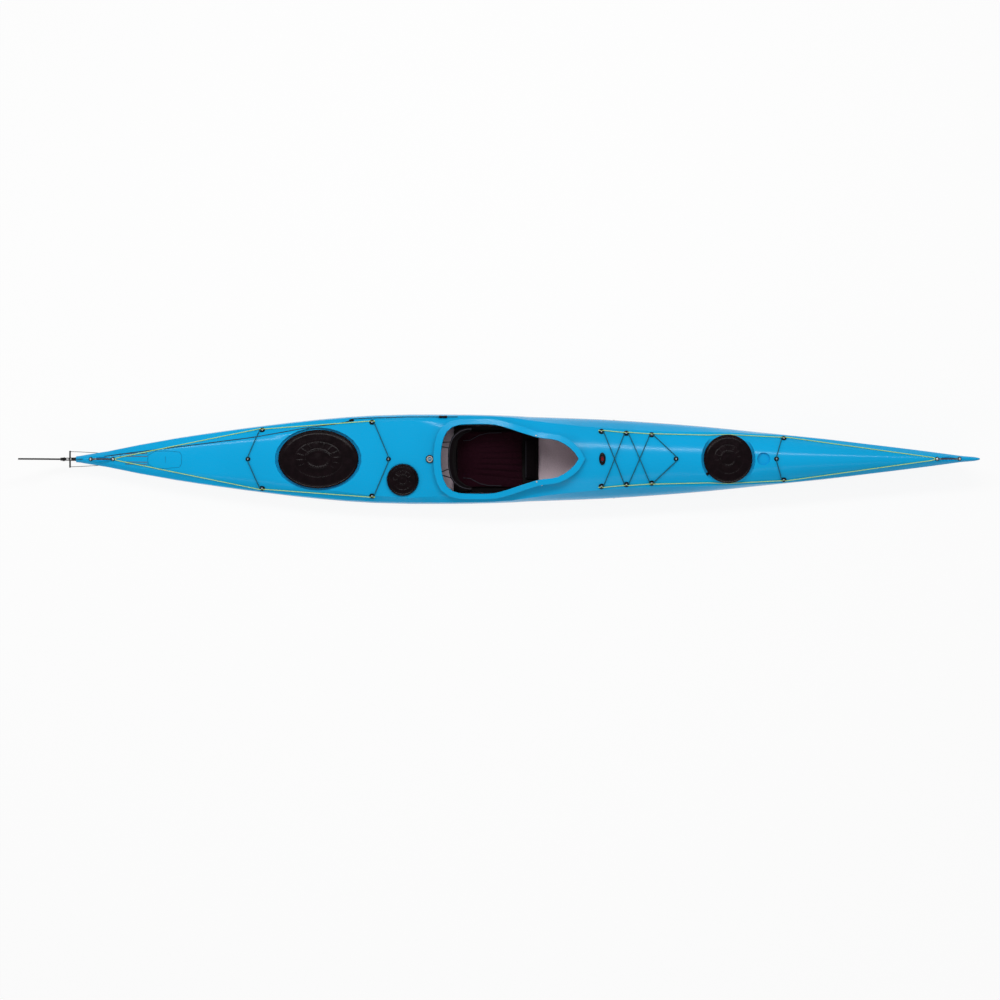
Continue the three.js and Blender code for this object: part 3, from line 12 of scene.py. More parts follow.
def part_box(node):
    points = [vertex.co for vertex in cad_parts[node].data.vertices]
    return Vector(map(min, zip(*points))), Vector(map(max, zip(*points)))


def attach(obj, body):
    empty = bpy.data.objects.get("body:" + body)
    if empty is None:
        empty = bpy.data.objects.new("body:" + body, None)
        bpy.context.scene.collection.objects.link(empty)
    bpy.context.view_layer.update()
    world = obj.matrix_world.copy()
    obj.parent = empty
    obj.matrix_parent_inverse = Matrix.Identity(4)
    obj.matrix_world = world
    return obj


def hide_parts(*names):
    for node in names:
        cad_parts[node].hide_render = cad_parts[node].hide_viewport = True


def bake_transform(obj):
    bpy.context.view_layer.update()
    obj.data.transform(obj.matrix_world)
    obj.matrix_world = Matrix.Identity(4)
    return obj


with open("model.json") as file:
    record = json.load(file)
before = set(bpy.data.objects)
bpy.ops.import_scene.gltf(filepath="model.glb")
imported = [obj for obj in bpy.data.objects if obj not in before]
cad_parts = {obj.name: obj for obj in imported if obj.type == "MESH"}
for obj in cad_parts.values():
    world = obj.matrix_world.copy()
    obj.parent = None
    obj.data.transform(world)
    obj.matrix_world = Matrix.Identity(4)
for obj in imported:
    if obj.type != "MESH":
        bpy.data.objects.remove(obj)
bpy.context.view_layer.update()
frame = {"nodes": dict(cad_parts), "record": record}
nodes = frame["nodes"]
scene = bpy.context.scene
scene.view_settings.view_transform = "Standard"

# Camera: a long lens high over the deck, looking straight down
VIEW_WIDTH = 6.035
CAMERA_PLACE = (-0.16, -0.247)
CAMERA_DISTANCE = 24.0
DECK_LEVEL = 0.2
SENSOR = 36.0

camera_data = bpy.data.cameras.new("camera")
camera_data.sensor_width = SENSOR
camera_data.lens = SENSOR * CAMERA_DISTANCE / VIEW_WIDTH
camera_data.clip_end = 200
camera = bpy.data.objects.new("camera", camera_data)
camera.location = (*CAMERA_PLACE, CAMERA_DISTANCE + DECK_LEVEL)
scene.collection.objects.link(camera)
scene.camera = camera


# Node materials


class Paint:
    """A node material built round one Principled shader, in object coordinates, in metres."""

    def __init__(self, name, roughness=0.5, metallic=0.0):
        self.material = bpy.data.materials.new(name)
        self.material.use_nodes = True
        self.tree = self.material.node_tree
        self.shader = self.tree.nodes["Principled BSDF"]
        self.shader.inputs["Roughness"].default_value = roughness
        self.shader.inputs["Metallic"].default_value = metallic
        self.place = self.node("ShaderNodeTexCoord").outputs["Object"]

    def node(self, kind, **settings):
        made = self.tree.nodes.new(kind)
        for key, value in settings.items():
            setattr(made, key, value)
        return made

    def link(self, source, target):
        self.tree.links.new(source, target)

    def feed(self, socket, value):
        if isinstance(value, bpy.types.NodeSocket):
            self.link(value, socket)
        else:
            socket.default_value = value

    def set(self, **values):
        for key, value in values.items():
            self.feed(self.shader.inputs[key.replace("_", " ")], value)

    def stretched(self, x=1.0, y=1.0, z=1.0, turn=0.0):
        """Object coordinates scaled by axis, and turned round Z."""
        made = self.node("ShaderNodeMapping")
        made.inputs["Scale"].default_value = (x, y, z)
        made.inputs["Rotation"].default_value = (0, 0, turn)
        self.link(self.place, made.inputs["Vector"])
        return made.outputs["Vector"]

    def noise(self, scale, detail=3.0, place=None, rough=0.55):
        made = self.node("ShaderNodeTexNoise")
        made.inputs["Scale"].default_value = scale
        made.inputs["Detail"].default_value = detail
        made.inputs["Roughness"].default_value = rough
        self.link(place or self.place, made.inputs["Vector"])
        return made.outputs["Fac"]

    def cells(self, scale):
        made = self.node("ShaderNodeTexVoronoi")
        made.inputs["Scale"].default_value = scale
        self.link(self.place, made.inputs["Vector"])
        return made.outputs["Distance"]

    def bands(self, scale, axis="X", place=None, distortion=0.0):
        made = self.node("ShaderNodeTexWave", bands_direction=axis)
        made.inputs["Scale"].default_value = scale
        made.inputs["Distortion"].default_value = distortion
        self.link(place or self.place, made.inputs["Vector"])
        return made.outputs["Fac"]

    def part(self, axis):
        made = self.node("ShaderNodeSeparateXYZ")
        self.link(self.place, made.inputs["Vector"])
        return made.outputs[axis]

    def normal(self):
        """The parts of the face's own normal, without bump."""
        made = self.node("ShaderNodeSeparateXYZ")
        self.link(self.node("ShaderNodeNewGeometry").outputs["True Normal"], made.inputs["Vector"])
        return made.outputs

    def span(self, value, low, high, start=0.0, end=1.0):
        """Maps low to high onto start to end, and holds the ends."""
        made = self.node("ShaderNodeMapRange")
        for key, number in zip(("From Min", "From Max", "To Min", "To Max"), (low, high, start, end)):
            made.inputs[key].default_value = number
        self.link(value, made.inputs["Value"])
        return made.outputs["Result"]

    def math(self, operation, first, second=0.5):
        made = self.node("ShaderNodeMath", operation=operation)
        self.feed(made.inputs[0], first)
        self.feed(made.inputs[1], second)
        return made.outputs["Value"]

    def mix(self, share, first, second):
        """A colour between two colours or colour sockets."""
        made = self.node("ShaderNodeMix", data_type="RGBA")
        self.feed(made.inputs["Factor"], share)
        for socket, colour in ((made.inputs[6], first), (made.inputs[7], second)):
            self.feed(socket, (*colour, 1) if isinstance(colour, tuple) else colour)
        return made.outputs[2]

    def bump(self, height, strength=0.2, depth=0.001, under=None):
        made = self.node("ShaderNodeBump")
        made.inputs["Strength"].default_value = strength
        made.inputs["Distance"].default_value = depth
        self.link(height, made.inputs["Height"])
        if under is not None:
            self.link(under, made.inputs["Normal"])
        return made.outputs["Normal"]


def shaded(colour, factor):
    """A darker or paler tone of a colour."""
    return tuple(channel * factor for channel in colour)


# Inner faces: painted mat in the hull and deck; in the coaming, painted shade: its inner wall is painted
# near-black for the dark under its lip. Up-facing faces of the hull are inside it below HULL_FLOOR, and the
# coaming's inner wall faces COCKPIT_MIDDLE.
COCKPIT_MIDDLE = -0.15
HULL_FLOOR = 0.11
MAT_TONES = ((0.53, 0.43, 0.48), (0.68, 0.56, 0.615))
COAMING_SHADE_TONES = ((0.003, 0.0015, 0.002), (0.007, 0.004, 0.005))
SCUFF = (0.42, 0.62, 0.72)
BELOW_ANY_NORMAL = -2.0


def laminate(name, colour, inner):
    """Glossy gelcoat, with scuffs low on the hull; inner says whose inner faces it marks off."""
    paint = Paint(name)
    cloud = paint.noise(1.3, 2.0)
    fine = paint.noise(38.0, 4.0)
    outside = paint.mix(paint.span(cloud, 0.35, 0.65), shaded(colour, 0.93), shaded(colour, 1.04))
    outside = paint.mix(paint.math("MULTIPLY", fine, 0.12), outside, shaded(colour, 0.82))
    streaks = paint.noise(9.0, 5.0, paint.stretched(1.5, 40, 40), 0.7)
    low = paint.span(paint.part("Z"), 0.05, 0.0)
    amount = paint.math("ADD", paint.math("MULTIPLY", low, 0.35), 0.03)
    worn = paint.math("MULTIPLY", paint.span(streaks, 0.6, 0.72), amount)
    outside = paint.mix(worn, outside, SCUFF)
    mat = paint.cells(260.0)
    fibres = paint.noise(160.0, 3.0, paint.stretched(1, 3, 1, 0.6))
    tones = COAMING_SHADE_TONES if inner == "coaming" else MAT_TONES
    inside = paint.mix(paint.span(fibres, 0.35, 0.65), *tones)
    normal = paint.normal()
    if inner == "none":
        within = paint.math("LESS_THAN", normal["Z"], BELOW_ANY_NORMAL)
    elif inner == "hull":
        side = paint.math("MULTIPLY", normal["Y"], paint.part("Y"))
        upward = paint.math("GREATER_THAN", normal["Z"], 0.5)
        bottom = paint.math("MULTIPLY", upward, paint.math("LESS_THAN", paint.part("Z"), HULL_FLOOR))
        within = paint.math("MAXIMUM", paint.math("LESS_THAN", side, -1e-6), bottom)
    elif inner == "deck":
        within = paint.math("LESS_THAN", normal["Z"], -0.02)
    else:
        # the coaming's inward-facing walls: painted shade, near-black
        across = paint.math("MULTIPLY", normal["Y"], paint.part("Y"))
        along = paint.math("MULTIPLY", normal["X"], paint.math("ADD", paint.part("X"), -COCKPIT_MIDDLE))
        inward = paint.math("LESS_THAN", paint.math("ADD", across, along), -0.004)
        within = paint.math("MULTIPLY", inward, paint.math("LESS_THAN", normal["Z"], 0.6))
    peel = paint.bump(paint.noise(140.0, 2.0), 0.05, 0.0004)
    rough_mat = paint.math("MULTIPLY", mat, within)
    gloss = paint.math("ADD", paint.span(fine, 0.3, 0.7, 0.16, 0.24), paint.math("MULTIPLY", worn, 0.4))
    paint.set(
        Base_Color=paint.mix(within, outside, inside),
        Roughness=paint.math("MAXIMUM", gloss, paint.math("MULTIPLY", within, 0.62)),
        Specular_IOR_Level=0.13,
        Coat_Weight=0.05,
        Coat_Roughness=0.08,
        Normal=paint.bump(rough_mat, 0.35, 0.0006, peel),
    )
    return paint.material


def plastic(name, colour, roughness=0.5, grain=900.0, specular=0.11):
    """Moulded plastic: fine spark-eroded grain with paler rubbed places."""
    paint = Paint(name)
    blotch = paint.noise(26.0, 3.0)
    tone = paint.mix(paint.span(blotch, 0.35, 0.7), shaded(colour, 0.75), shaded(colour, 1.5))
    specks = paint.span(paint.noise(620.0, 2.0), 0.62, 0.74)
    tone = paint.mix(paint.math("MULTIPLY", specks, 0.18), tone, shaded(colour, 3.0))
    paint.set(
        Base_Color=tone,
        Roughness=paint.span(blotch, 0.3, 0.7, roughness - 0.08, roughness + 0.1),
        Specular_IOR_Level=specular,
        Normal=paint.bump(paint.cells(grain), 0.25, 0.0003),
    )
    return paint.material


def metal(name, colour, roughness=0.28):
    """Brushed metal: fine lines that vary its tone and gloss."""
    paint = Paint(name, metallic=1.0)
    lines = paint.noise(220.0, 4.0, paint.stretched(8, 1, 1))
    paint.set(
        Base_Color=paint.mix(paint.span(lines, 0.3, 0.7), shaded(colour, 0.8), colour),
        Roughness=paint.span(lines, 0.3, 0.7, roughness - 0.08, roughness + 0.14),
        Normal=paint.bump(lines, 0.1, 0.0002),
    )
    return paint.material


def cordage(name, colour, fleck, twist=420.0):
    """Braided cord: crossing diagonal strands and a contrasting fleck."""
    paint = Paint(name, 0.72)
    one = paint.bands(twist, "DIAGONAL")
    other = paint.bands(twist, "DIAGONAL", paint.stretched(-1, 1, 1))
    braid = paint.math("MAXIMUM", one, other)
    flecks = paint.span(paint.bands(twist * 0.22, "X", None, 6.0), 0.62, 0.8)
    tone = paint.mix(paint.span(braid, 0.3, 1.0), shaded(colour, 0.55), shaded(colour, 1.1))
    paint.set(
        Base_Color=paint.mix(paint.math("MULTIPLY", flecks, 0.5), tone, fleck),
        Specular_IOR_Level=0.2,
        Sheen_Weight=0.05,
        Normal=paint.bump(braid, 0.5, 0.0005),
    )
    return paint.material


def cloth(name, colour, thread=520.0, sheen=0.05):
    """Woven fabric: crossing threads, a soft nap and worn, slightly paler places."""
    paint = Paint(name, 0.9)
    weft = paint.bands(thread, "X")
    warp = paint.bands(thread, "Y")
    weave = paint.math("MULTIPLY", weft, warp)
    nap = paint.noise(70.0, 4.0)
    tone = paint.mix(paint.span(nap, 0.3, 0.7), shaded(colour, 0.6), shaded(colour, 1.35))
    tone = paint.mix(paint.span(weave, 0.0, 0.8), shaded(colour, 0.6), tone)
    creases = paint.bump(paint.noise(16.0, 3.0, paint.stretched(1, 2.5, 1)), 0.35, 0.004)
    paint.set(
        Base_Color=tone,
        Specular_IOR_Level=0.06,
        Sheen_Weight=sheen,
        Sheen_Roughness=0.5,
        Normal=paint.bump(weave, 0.45, 0.0004, creases),
    )
    return paint.material


AZURE = (0.0005, 0.365, 0.70)
finishes = {
    "azure_laminate": laminate("azure_laminate", AZURE, "none"),
    "azure_hull": laminate("azure_hull", AZURE, "hull"),
    "azure_deck": laminate("azure_deck", AZURE, "deck"),
    "azure_coaming": laminate("azure_coaming", AZURE, "coaming"),
    "black_plastic": plastic("black_plastic", (0.0040, 0.0034, 0.0040), 0.42),
    "pan_plastic": plastic("pan_plastic", (0.0026, 0.0014, 0.0020), 0.5, 900.0, 0.05),
    "gloss_black": plastic("gloss_black", (0.0040, 0.0034, 0.0044), 0.2, 1400.0, 0.5),
    "sleeve": plastic("sleeve", (0.15, 0.11, 0.09), 0.5),
    "black_rubber": plastic("black_rubber", (0.0036, 0.0008, 0.0017), 0.22, 1400.0, 0.10),
    "stainless_steel": metal("stainless_steel", (0.62, 0.62, 0.60)),
    "deckline_cord": cordage("deckline_cord", (0.58, 0.84, 0.24), (0.16, 0.52, 0.40)),
    "bungee_cord": cordage("bungee_cord", (0.003, 0.095, 0.150), (0.008, 0.16, 0.22)),
    "black_cord": cordage("black_cord", (0.014, 0.014, 0.016), (0.06, 0.06, 0.065), 600.0),
    "seat_fabric": cloth("seat_fabric", (0.0220, 0.0032, 0.0085), 520.0, 0.03),
    "black_foam": cloth("black_foam", (0.0052, 0.0030, 0.0042), 700.0, 0.015),
    "piping": cloth("piping", (0.052, 0.050, 0.062), 900.0),
    "red_rubber": plastic("red_rubber", (0.17, 0.008, 0.014), 0.5),
    # painted shade: a darker blue for the shade in moulded grooves
    "groove_shade_line": plastic("groove_shade_line", (0.001, 0.13, 0.27), 0.4),
}


# Shading of the CAD nodes: welded corners, soft over shallow edges and crisp over steep ones

WELD = 1e-5
STEEP_EDGE = 32.0


def soft_edges(angle):
    """A modifier's node group that welds the corners and shades smooth, except over steep edges."""
    group = bpy.data.node_groups.new(f"soft_edges_{round(angle)}", "GeometryNodeTree")
    group.interface.new_socket("Geometry", in_out="INPUT", socket_type="NodeSocketGeometry")
    group.interface.new_socket("Geometry", in_out="OUTPUT", socket_type="NodeSocketGeometry")
    made = {kind: group.nodes.new(kind) for kind in (
        "NodeGroupInput", "GeometryNodeMergeByDistance", "GeometryNodeSetMeshNormal",
        "GeometryNodeInputMeshEdgeAngle", "FunctionNodeCompare", "NodeGroupOutput",
    )}
    faces = group.nodes.new("GeometryNodeSetShadeSmooth")
    edges = group.nodes.new("GeometryNodeSetShadeSmooth")
    faces.domain = "FACE"
    edges.domain = "EDGE"
    merge = made["GeometryNodeMergeByDistance"]
    merge.inputs["Distance"].default_value = WELD
    clear = made["GeometryNodeSetMeshNormal"]
    clear.mode = "SHARPNESS"
    steep = made["FunctionNodeCompare"]
    steep.data_type = "FLOAT"
    steep.operation = "GREATER_THAN"
    steep.inputs["B"].default_value = math.radians(angle)
    edges.inputs["Shade Smooth"].default_value = False
    clear.inputs["Remove Custom"].default_value = True
    chain = (
        (made["NodeGroupInput"].outputs[0], merge.inputs[0]),
        (merge.outputs[0], clear.inputs[0]),
        (clear.outputs[0], faces.inputs["Geometry"]),
        (faces.outputs[0], edges.inputs["Geometry"]),
        (edges.outputs[0], made["NodeGroupOutput"].inputs[0]),
        (made["GeometryNodeInputMeshEdgeAngle"].outputs["Unsigned Angle"], steep.inputs["A"]),
        (steep.outputs["Result"], edges.inputs["Selection"]),
    )
    for source, target in chain:
        group.links.new(source, target)
    return group


shading = soft_edges(STEEP_EDGE)
slots = {part["node"]: part["material_slot"] for part in frame["record"]["subparts"]}
special_finishes = {
    "deck_shell": "azure_deck", "hull_shell": "azure_hull", "cockpit_coaming": "azure_coaming",
    "seat_pan": "pan_plastic", "bow_handle": "gloss_black", "stern_handle": "gloss_black",
}
for name, obj in nodes.items():
    finish = special_finishes.get(name, slots[name])
    obj.data.materials.clear()
    obj.data.materials.append(finishes[finish])
    obj.modifiers.new("soft_edges", "NODES").node_group = shading


# Making pieces

PIXEL = 6.035e-3
STERN_PIXEL, STERN_X = 75, -2.725
MIDLINE_PIXEL = 459
CORD_SIDES = 8
PIPING_RADIUS = 0.0022
SIDES = ((1, "port"), (-1, "starboard"))


def to_world(px, py):
    """Place of a pixel of the top view, in metres."""
    return Vector(((px - STERN_PIXEL) * PIXEL + STERN_X, (MIDLINE_PIXEL - py) * PIXEL, 0))


def piece(name, mesh, body, finish, smooth=True):
    """An object on a body, with its finish's material in its one slot."""
    obj = bpy.data.objects.new(name, mesh)
    scene.collection.objects.link(obj)
    mesh.materials.append(finishes[finish])
    if smooth:
        mesh.shade_smooth()
    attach(obj, body)
    return obj


def mesh_of(name, points, faces):
    """A mesh whose faces all look outward."""
    mesh = bpy.data.meshes.new(name)
    mesh.from_pydata([tuple(point) for point in points], [], faces)
    mesh.validate()
    work = bmesh.new()
    work.from_mesh(mesh)
    bmesh.ops.recalc_face_normals(work, faces=work.faces)
    work.to_mesh(mesh)
    work.free()
    return mesh


def turned(name, profile, steps=32, stretch=(1, 1), wobble=None):
    """A closed mesh turned round Z from (radius, height) pairs that start and end on the axis."""
    points = []
    faces = []
    rows = []
    for radius, height in profile:
        if radius == 0:
            rows.append([len(points)])
            points.append((0, 0, height))
            continue
        rows.append(list(range(len(points), len(points) + steps)))
        for step in range(steps):
            angle = step / steps * math.tau
            extra = wobble(radius, angle) if wobble else 0
            x = radius * math.cos(angle) * stretch[0]
            y = radius * math.sin(angle) * stretch[1]
            points.append((x, y, height + extra))
    for lower, upper in zip(rows, rows[1:]):
        for step in range(steps):
            after = (step + 1) % steps
            corners = [
                lower[step % len(lower)], lower[after % len(lower)],
                upper[after % len(upper)], upper[step % len(upper)],
            ]
            faces.append(list(dict.fromkeys(corners)))
    return mesh_of(name, points, faces)


def spline(near, t):
    """A smooth curve's point between the second and the third of four points."""
    return 0.5 * (
        2 * near[1] + (near[2] - near[0]) * t
        + (2 * near[0] - 5 * near[1] + 4 * near[2] - near[3]) * t ** 2
        + (3 * near[1] - near[0] - 3 * near[2] + near[3]) * t ** 3
    )


def tube(name, points, radius, sides=CORD_SIDES, smooth=3, closed=False):
    """A round cord along a smooth curve through the points."""
    points = [Vector(point) for point in points]
    count = len(points)
    line = []
    spans = count if closed else count - 1
    for i in range(spans):
        order = [(i + k) % count if closed else min(max(i + k, 0), count - 1) for k in (-1, 0, 1, 2)]
        near = [points[k] for k in order]
        line += [spline(near, step / smooth) for step in range(smooth)]
    if not closed:
        line.append(points[-1])
    total = len(line)
    rings = []
    side = None
    for i, point in enumerate(line):
        before = line[(i - 1) % total] if closed else line[max(i - 1, 0)]
        after = line[(i + 1) % total] if closed else line[min(i + 1, total - 1)]
        along = (after - before).normalized()
        if side is None:
            side = along.orthogonal().normalized()
        side = (side - along * side.dot(along)).normalized()
        up = along.cross(side)
        rings.append([
            point + (side * math.cos(k / sides * math.tau) + up * math.sin(k / sides * math.tau)) * radius
            for k in range(sides)
        ])
    flat = [point for ring in rings for point in ring]
    faces = []
    for i in range(total if closed else total - 1):
        for k in range(sides):
            ring = i * sides
            other = (i + 1) % total * sides
            after = (k + 1) % sides
            faces.append([ring + k, ring + after, other + after, other + k])
    if not closed:
        faces.append(list(range(sides))[::-1])
        faces.append([(total - 1) * sides + k for k in range(sides)])
    return mesh_of(name, flat, faces)


def bent(name, mesh, node=None):
    """A black cord on no body, standing for a node where one is named."""
    obj = bpy.data.objects.new(name, mesh)
    scene.collection.objects.link(obj)
    mesh.materials.append(finishes["black_cord"])
    mesh.shade_smooth()
    if node:
        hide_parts(node)
    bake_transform(obj)


def welded(node):
    """A CAD node's mesh for editing, with its split corners joined again."""
    work = bmesh.new()
    work.from_mesh(nodes[node].data)
    bmesh.ops.remove_doubles(work, verts=work.verts, dist=WELD)
    return work


def finished(work, name):
    """The edited mesh, with its working copy freed."""
    mesh = bpy.data.meshes.new(name)
    work.to_mesh(mesh)
    work.free()
    return mesh


def probe(*names):
    """Searchable surfaces of CAD nodes, at rest."""
    points = []
    faces = []
    for name in names:
        mesh = nodes[name].data
        start = len(points)
        points += [vertex.co.copy() for vertex in mesh.vertices]
        faces += [[start + i for i in polygon.vertices] for polygon in mesh.polygons]
    return BVHTree.FromPolygons(points, faces)


# Rays start well clear of the kayak; small heads stand a little proud of their surface
CLEAR = 1
HEAD_LIFT = 0.0002
deck_tree = probe("deck_shell")
above_tree = probe(*[name for name in nodes if name not in ("hull_shell", "seat_pan")])


def on_deck(x, y, lift=0.0, tree=deck_tree):
    """The place on a surface under a point, and the surface's normal there."""
    hit, normal, _, _ = tree.ray_cast(Vector((x, y, CLEAR)), Vector((0, 0, -1)))
    return hit + normal * lift, normal


def seated(x, y, lift=0.0, tree=deck_tree):
    """A matrix that stands a piece on the surface under a point, with its X along the hull."""
    point, up = on_deck(x, y, lift, tree)
    across = up.cross(Vector((1, 0, 0))).normalized()
    return Matrix.Translation(point) @ Matrix((across.cross(up), across, up)).transposed().to_4x4()


def stood(point, normal):
    """A matrix that stands a small head on a wall or a bottom."""
    turn = normal.to_track_quat("Z", "Y").to_matrix().to_4x4()
    return Matrix.Translation(point + normal * HEAD_LIFT) @ turn


# Padding: a closed cover, remeshed and swollen as cloth

PRESSURE = 4.0
CLOTH_STEPS = 20


def applied(obj, name):
    """The mesh of an object with its modifiers applied."""
    evaluated = obj.evaluated_get(bpy.context.evaluated_depsgraph_get())
    mesh = bpy.data.meshes.new_from_object(evaluated)
    mesh.name = name
    return mesh


def plumped(mesh, voxel, cap, allowed, pinned=None):
    """Remeshes a closed mesh evenly and swells it as cloth, by no more than a cap.

    allowed() keeps a point off its neighbours, and pinned() says which points don't swell.
    """
    obj = bpy.data.objects.new(mesh.name, mesh)
    scene.collection.objects.link(obj)
    remesh = obj.modifiers.new("remesh", "REMESH")
    remesh.mode = "VOXEL"
    remesh.voxel_size = voxel
    even = applied(obj, f"{mesh.name}_even")
    obj.modifiers.clear()
    obj.data = even
    start = [vertex.co.copy() for vertex in even.vertices]
    if cap:
        cloth = obj.modifiers.new("cloth", "CLOTH")
        cloth.settings.quality = 5
        cloth.settings.use_pressure = True
        cloth.settings.uniform_pressure_force = PRESSURE
        cloth.settings.effector_weights.gravity = 0
        cloth.point_cache.frame_end = CLOTH_STEPS
        if pinned:
            group = obj.vertex_groups.new(name="pinned")
            group.add([i for i, point in enumerate(start) if pinned(point)], 1.0, "REPLACE")
            cloth.settings.vertex_group_mass = "pinned"
        for step in range(1, CLOTH_STEPS + 1):
            scene.frame_set(step)
        swollen = applied(obj, f"{mesh.name}_swollen")
        for vertex, moved in zip(even.vertices, swollen.vertices):
            delta = moved.co - vertex.co
            if delta.length > cap:
                delta *= cap / delta.length
            vertex.co += delta
        obj.modifiers.clear()
        scene.frame_set(1)
    finer = obj.modifiers.new("finer", "SUBSURF")
    finer.levels = 1
    finer.render_levels = 1
    smooth = applied(obj, mesh.name)
    bpy.data.objects.remove(obj)
    for vertex in smooth.vertices:
        vertex.co = allowed(vertex.co)
    return smooth


def channelled(mesh, lines, depth, width):
    """Presses sewn channels into the upper side.

    lines() gives a point's distance from its channel, and the channel's share of the full depth there.
    """
    for vertex, normal in zip(mesh.vertices, [vertex.normal.copy() for vertex in mesh.vertices]):
        distance, share = lines(vertex.co)
        if normal.z > 0.2:
            vertex.co -= normal * depth * share * math.exp(-((distance / width) ** 2))
    mesh.update()


def eased(value, low, high):
    """From 0 at low to 1 at high, with a soft start and end."""
    share = min(max((value - low) / (high - low), 0), 1)
    return share * share * (3 - 2 * share)


# Seat cushion and thigh support on the pan

PAN_TOP = 0.0093
PAN_FLAT = 0.1
PAN_SLOPE = 0.577
ON_PAN_GAP = 0.0006
LEAST_PAN_GAP = 0.0004
PINNED_HEIGHT = 0.004
END_SLACK = 0.0005
SIDE_SLACK = 0.006
CUSHION = {"start": -0.430, "length": 0.416, "half": 0.180, "thickness": 0.034, "crown": 0.009}
SUPPORT = {"start": -0.008, "length": 0.078, "half": 0.128, "thickness": 0.044, "crown": 0.009}


def pan_top(y):
    """Height of the pan's upper face: flat in the middle, rising to its sides."""
    return PAN_TOP + max(abs(y) - PAN_FLAT, 0) * PAN_SLOPE


def pad_mesh(name, start, length, half, thickness, crown, inset, rows=20, columns=28):
    """A closed pad on the pan: crowned, with sides that draw in between its corners."""
    points = []
    faces = []
    size = (columns + 1) * 2
    for r in range(rows + 1):
        u = r / rows * 2 - 1
        end = math.sqrt(1 - abs(u) ** 5 * 0.86)
        width = (half - inset) * (0.97 + 0.02 * u * u) * (1 - 0.05 * abs(u) ** 8)
        top = []
        bottom = []
        for c in range(columns + 1):
            v = c / columns * 2 - 1
            edge = math.sqrt(1 - abs(v) ** 4 * 0.88)
            x = start + inset + (length - 2 * inset) * (0.5 + u / 2 * (1 - 0.012 * (1 - v * v)))
            base = pan_top(v * width) + ON_PAN_GAP
            swell = (thickness + crown * (1 - v * v)) * end * edge
            top.append((x, v * width, base + swell))
            bottom.append((x, v * width, base))
        points += top + bottom[::-1]
    for r in range(rows):
        for i in range(size):
            after = (i + 1) % size
            faces.append([r * size + i, r * size + after, (r + 1) * size + after, (r + 1) * size + i])
    faces.append(list(range(size)))
    faces.append([rows * size + i for i in range(size)])
    return mesh_of(name, points, faces)


def on_pan(values):
    """Keeps the points of a pad on the pan and inside its own length and width."""
    low = values["start"] - END_SLACK
    high = values["start"] + values["length"] + END_SLACK
    side = values["half"] + SIDE_SLACK

    def allowed(point):
        y = min(max(point.y, -side), side)
        return Vector((min(max(point.x, low), high), y, max(point.z, pan_top(y) + LEAST_PAN_GAP)))
    return allowed


def rests_on_pan(point):
    """Whether a pad's point is low enough to be held by the pan."""
    return point.z < pan_top(point.y) + PINNED_HEIGHT


CHANNELS = 7
CHANNEL_GAP = 0.036


def cushion_lines(point):
    """Lengthwise channels that fan out towards the bow and fade out at both ends."""
    along = (point.x - CUSHION["start"]) / CUSHION["length"]
    gap = CHANNEL_GAP * (0.78 + 0.34 * along)
    nearest = min(max(round(point.y / gap), -(CHANNELS // 2)), CHANNELS // 2)
    return abs(point.y - nearest * gap), eased(along, 0.22, 0.45) * eased(along, 1.0, 0.93)


cushion_mesh = pad_mesh("seat_cushion_cover", **CUSHION, inset=0.004)
cushion_mesh = plumped(cushion_mesh, voxel=0.006, cap=0.007, allowed=on_pan(CUSHION), pinned=rests_on_pan)
channelled(cushion_mesh, cushion_lines, depth=0.0078, width=0.0075)
cushion = piece("seat_cushion_cover", cushion_mesh, "kayak", "seat_fabric")
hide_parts("seat_cushion")

support_mesh = pad_mesh("thigh_support_cover", **SUPPORT, inset=0.003)
support_mesh = plumped(support_mesh, voxel=0.005, cap=0.005, allowed=on_pan(SUPPORT), pinned=rests_on_pan)
SUPPORT_SEAM = 0.052
channelled(support_mesh, lambda point: (abs(point.x - SUPPORT_SEAM), 1.0), depth=0.0016, width=0.003)
support = piece("thigh_support_cover", support_mesh, "support_body", "black_foam")
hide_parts("thigh_support")


def tree_of(mesh):
    """The searchable surface of a mesh."""
    points = [vertex.co for vertex in mesh.vertices]
    return BVHTree.FromPolygons(points, [list(polygon.vertices) for polygon in mesh.polygons])


def laid(points, tree, radius, steps=4):
    """Points of a cord that lies on a surface, sunk in by two fifths of its radius."""
    route = []
    for (x0, y0), (x1, y1) in zip(points, points[1:]):
        for step in range(steps):
            share = step / steps
            route.append((x0 + (x1 - x0) * share, y0 + (y1 - y0) * share))
    route.append(points[-1])
    return [on_deck(x, y, radius * 0.6, tree)[0] for x, y in route]


PIPING_LINE = [
    (-0.384, 0.113), (-0.340, 0.117), (-0.310, 0.134), (-0.283, 0.148), (-0.232, 0.159), (-0.150, 0.161),
]
SUPPORT_PIPING_RADIUS = 0.0018
cushion_tree = tree_of(cushion_mesh)
for side, label in SIDES:
    name = f"cushion_piping_{label}"
    route = laid([(x, side * y) for x, y in PIPING_LINE], cushion_tree, PIPING_RADIUS)
    piece(name, tube(name, route, PIPING_RADIUS), "kayak", "piping")
route = laid([(-0.0015, y / 100) for y in range(-11, 12, 2)], tree_of(support_mesh), SUPPORT_PIPING_RADIUS)
mesh = tube("support_piping", route, SUPPORT_PIPING_RADIUS)
piece("support_piping", mesh, "support_body", "piping")


# Back band round the paddler, its piping, pivots and cords

BAND_TOP = 0.304
BAND_BOTTOM = 0.132
BAND_HALF = 0.011
BAND_LEAN = 0.030
BAND_MARGIN = 0.004
BAND_SIDE_LIMIT = 0.190
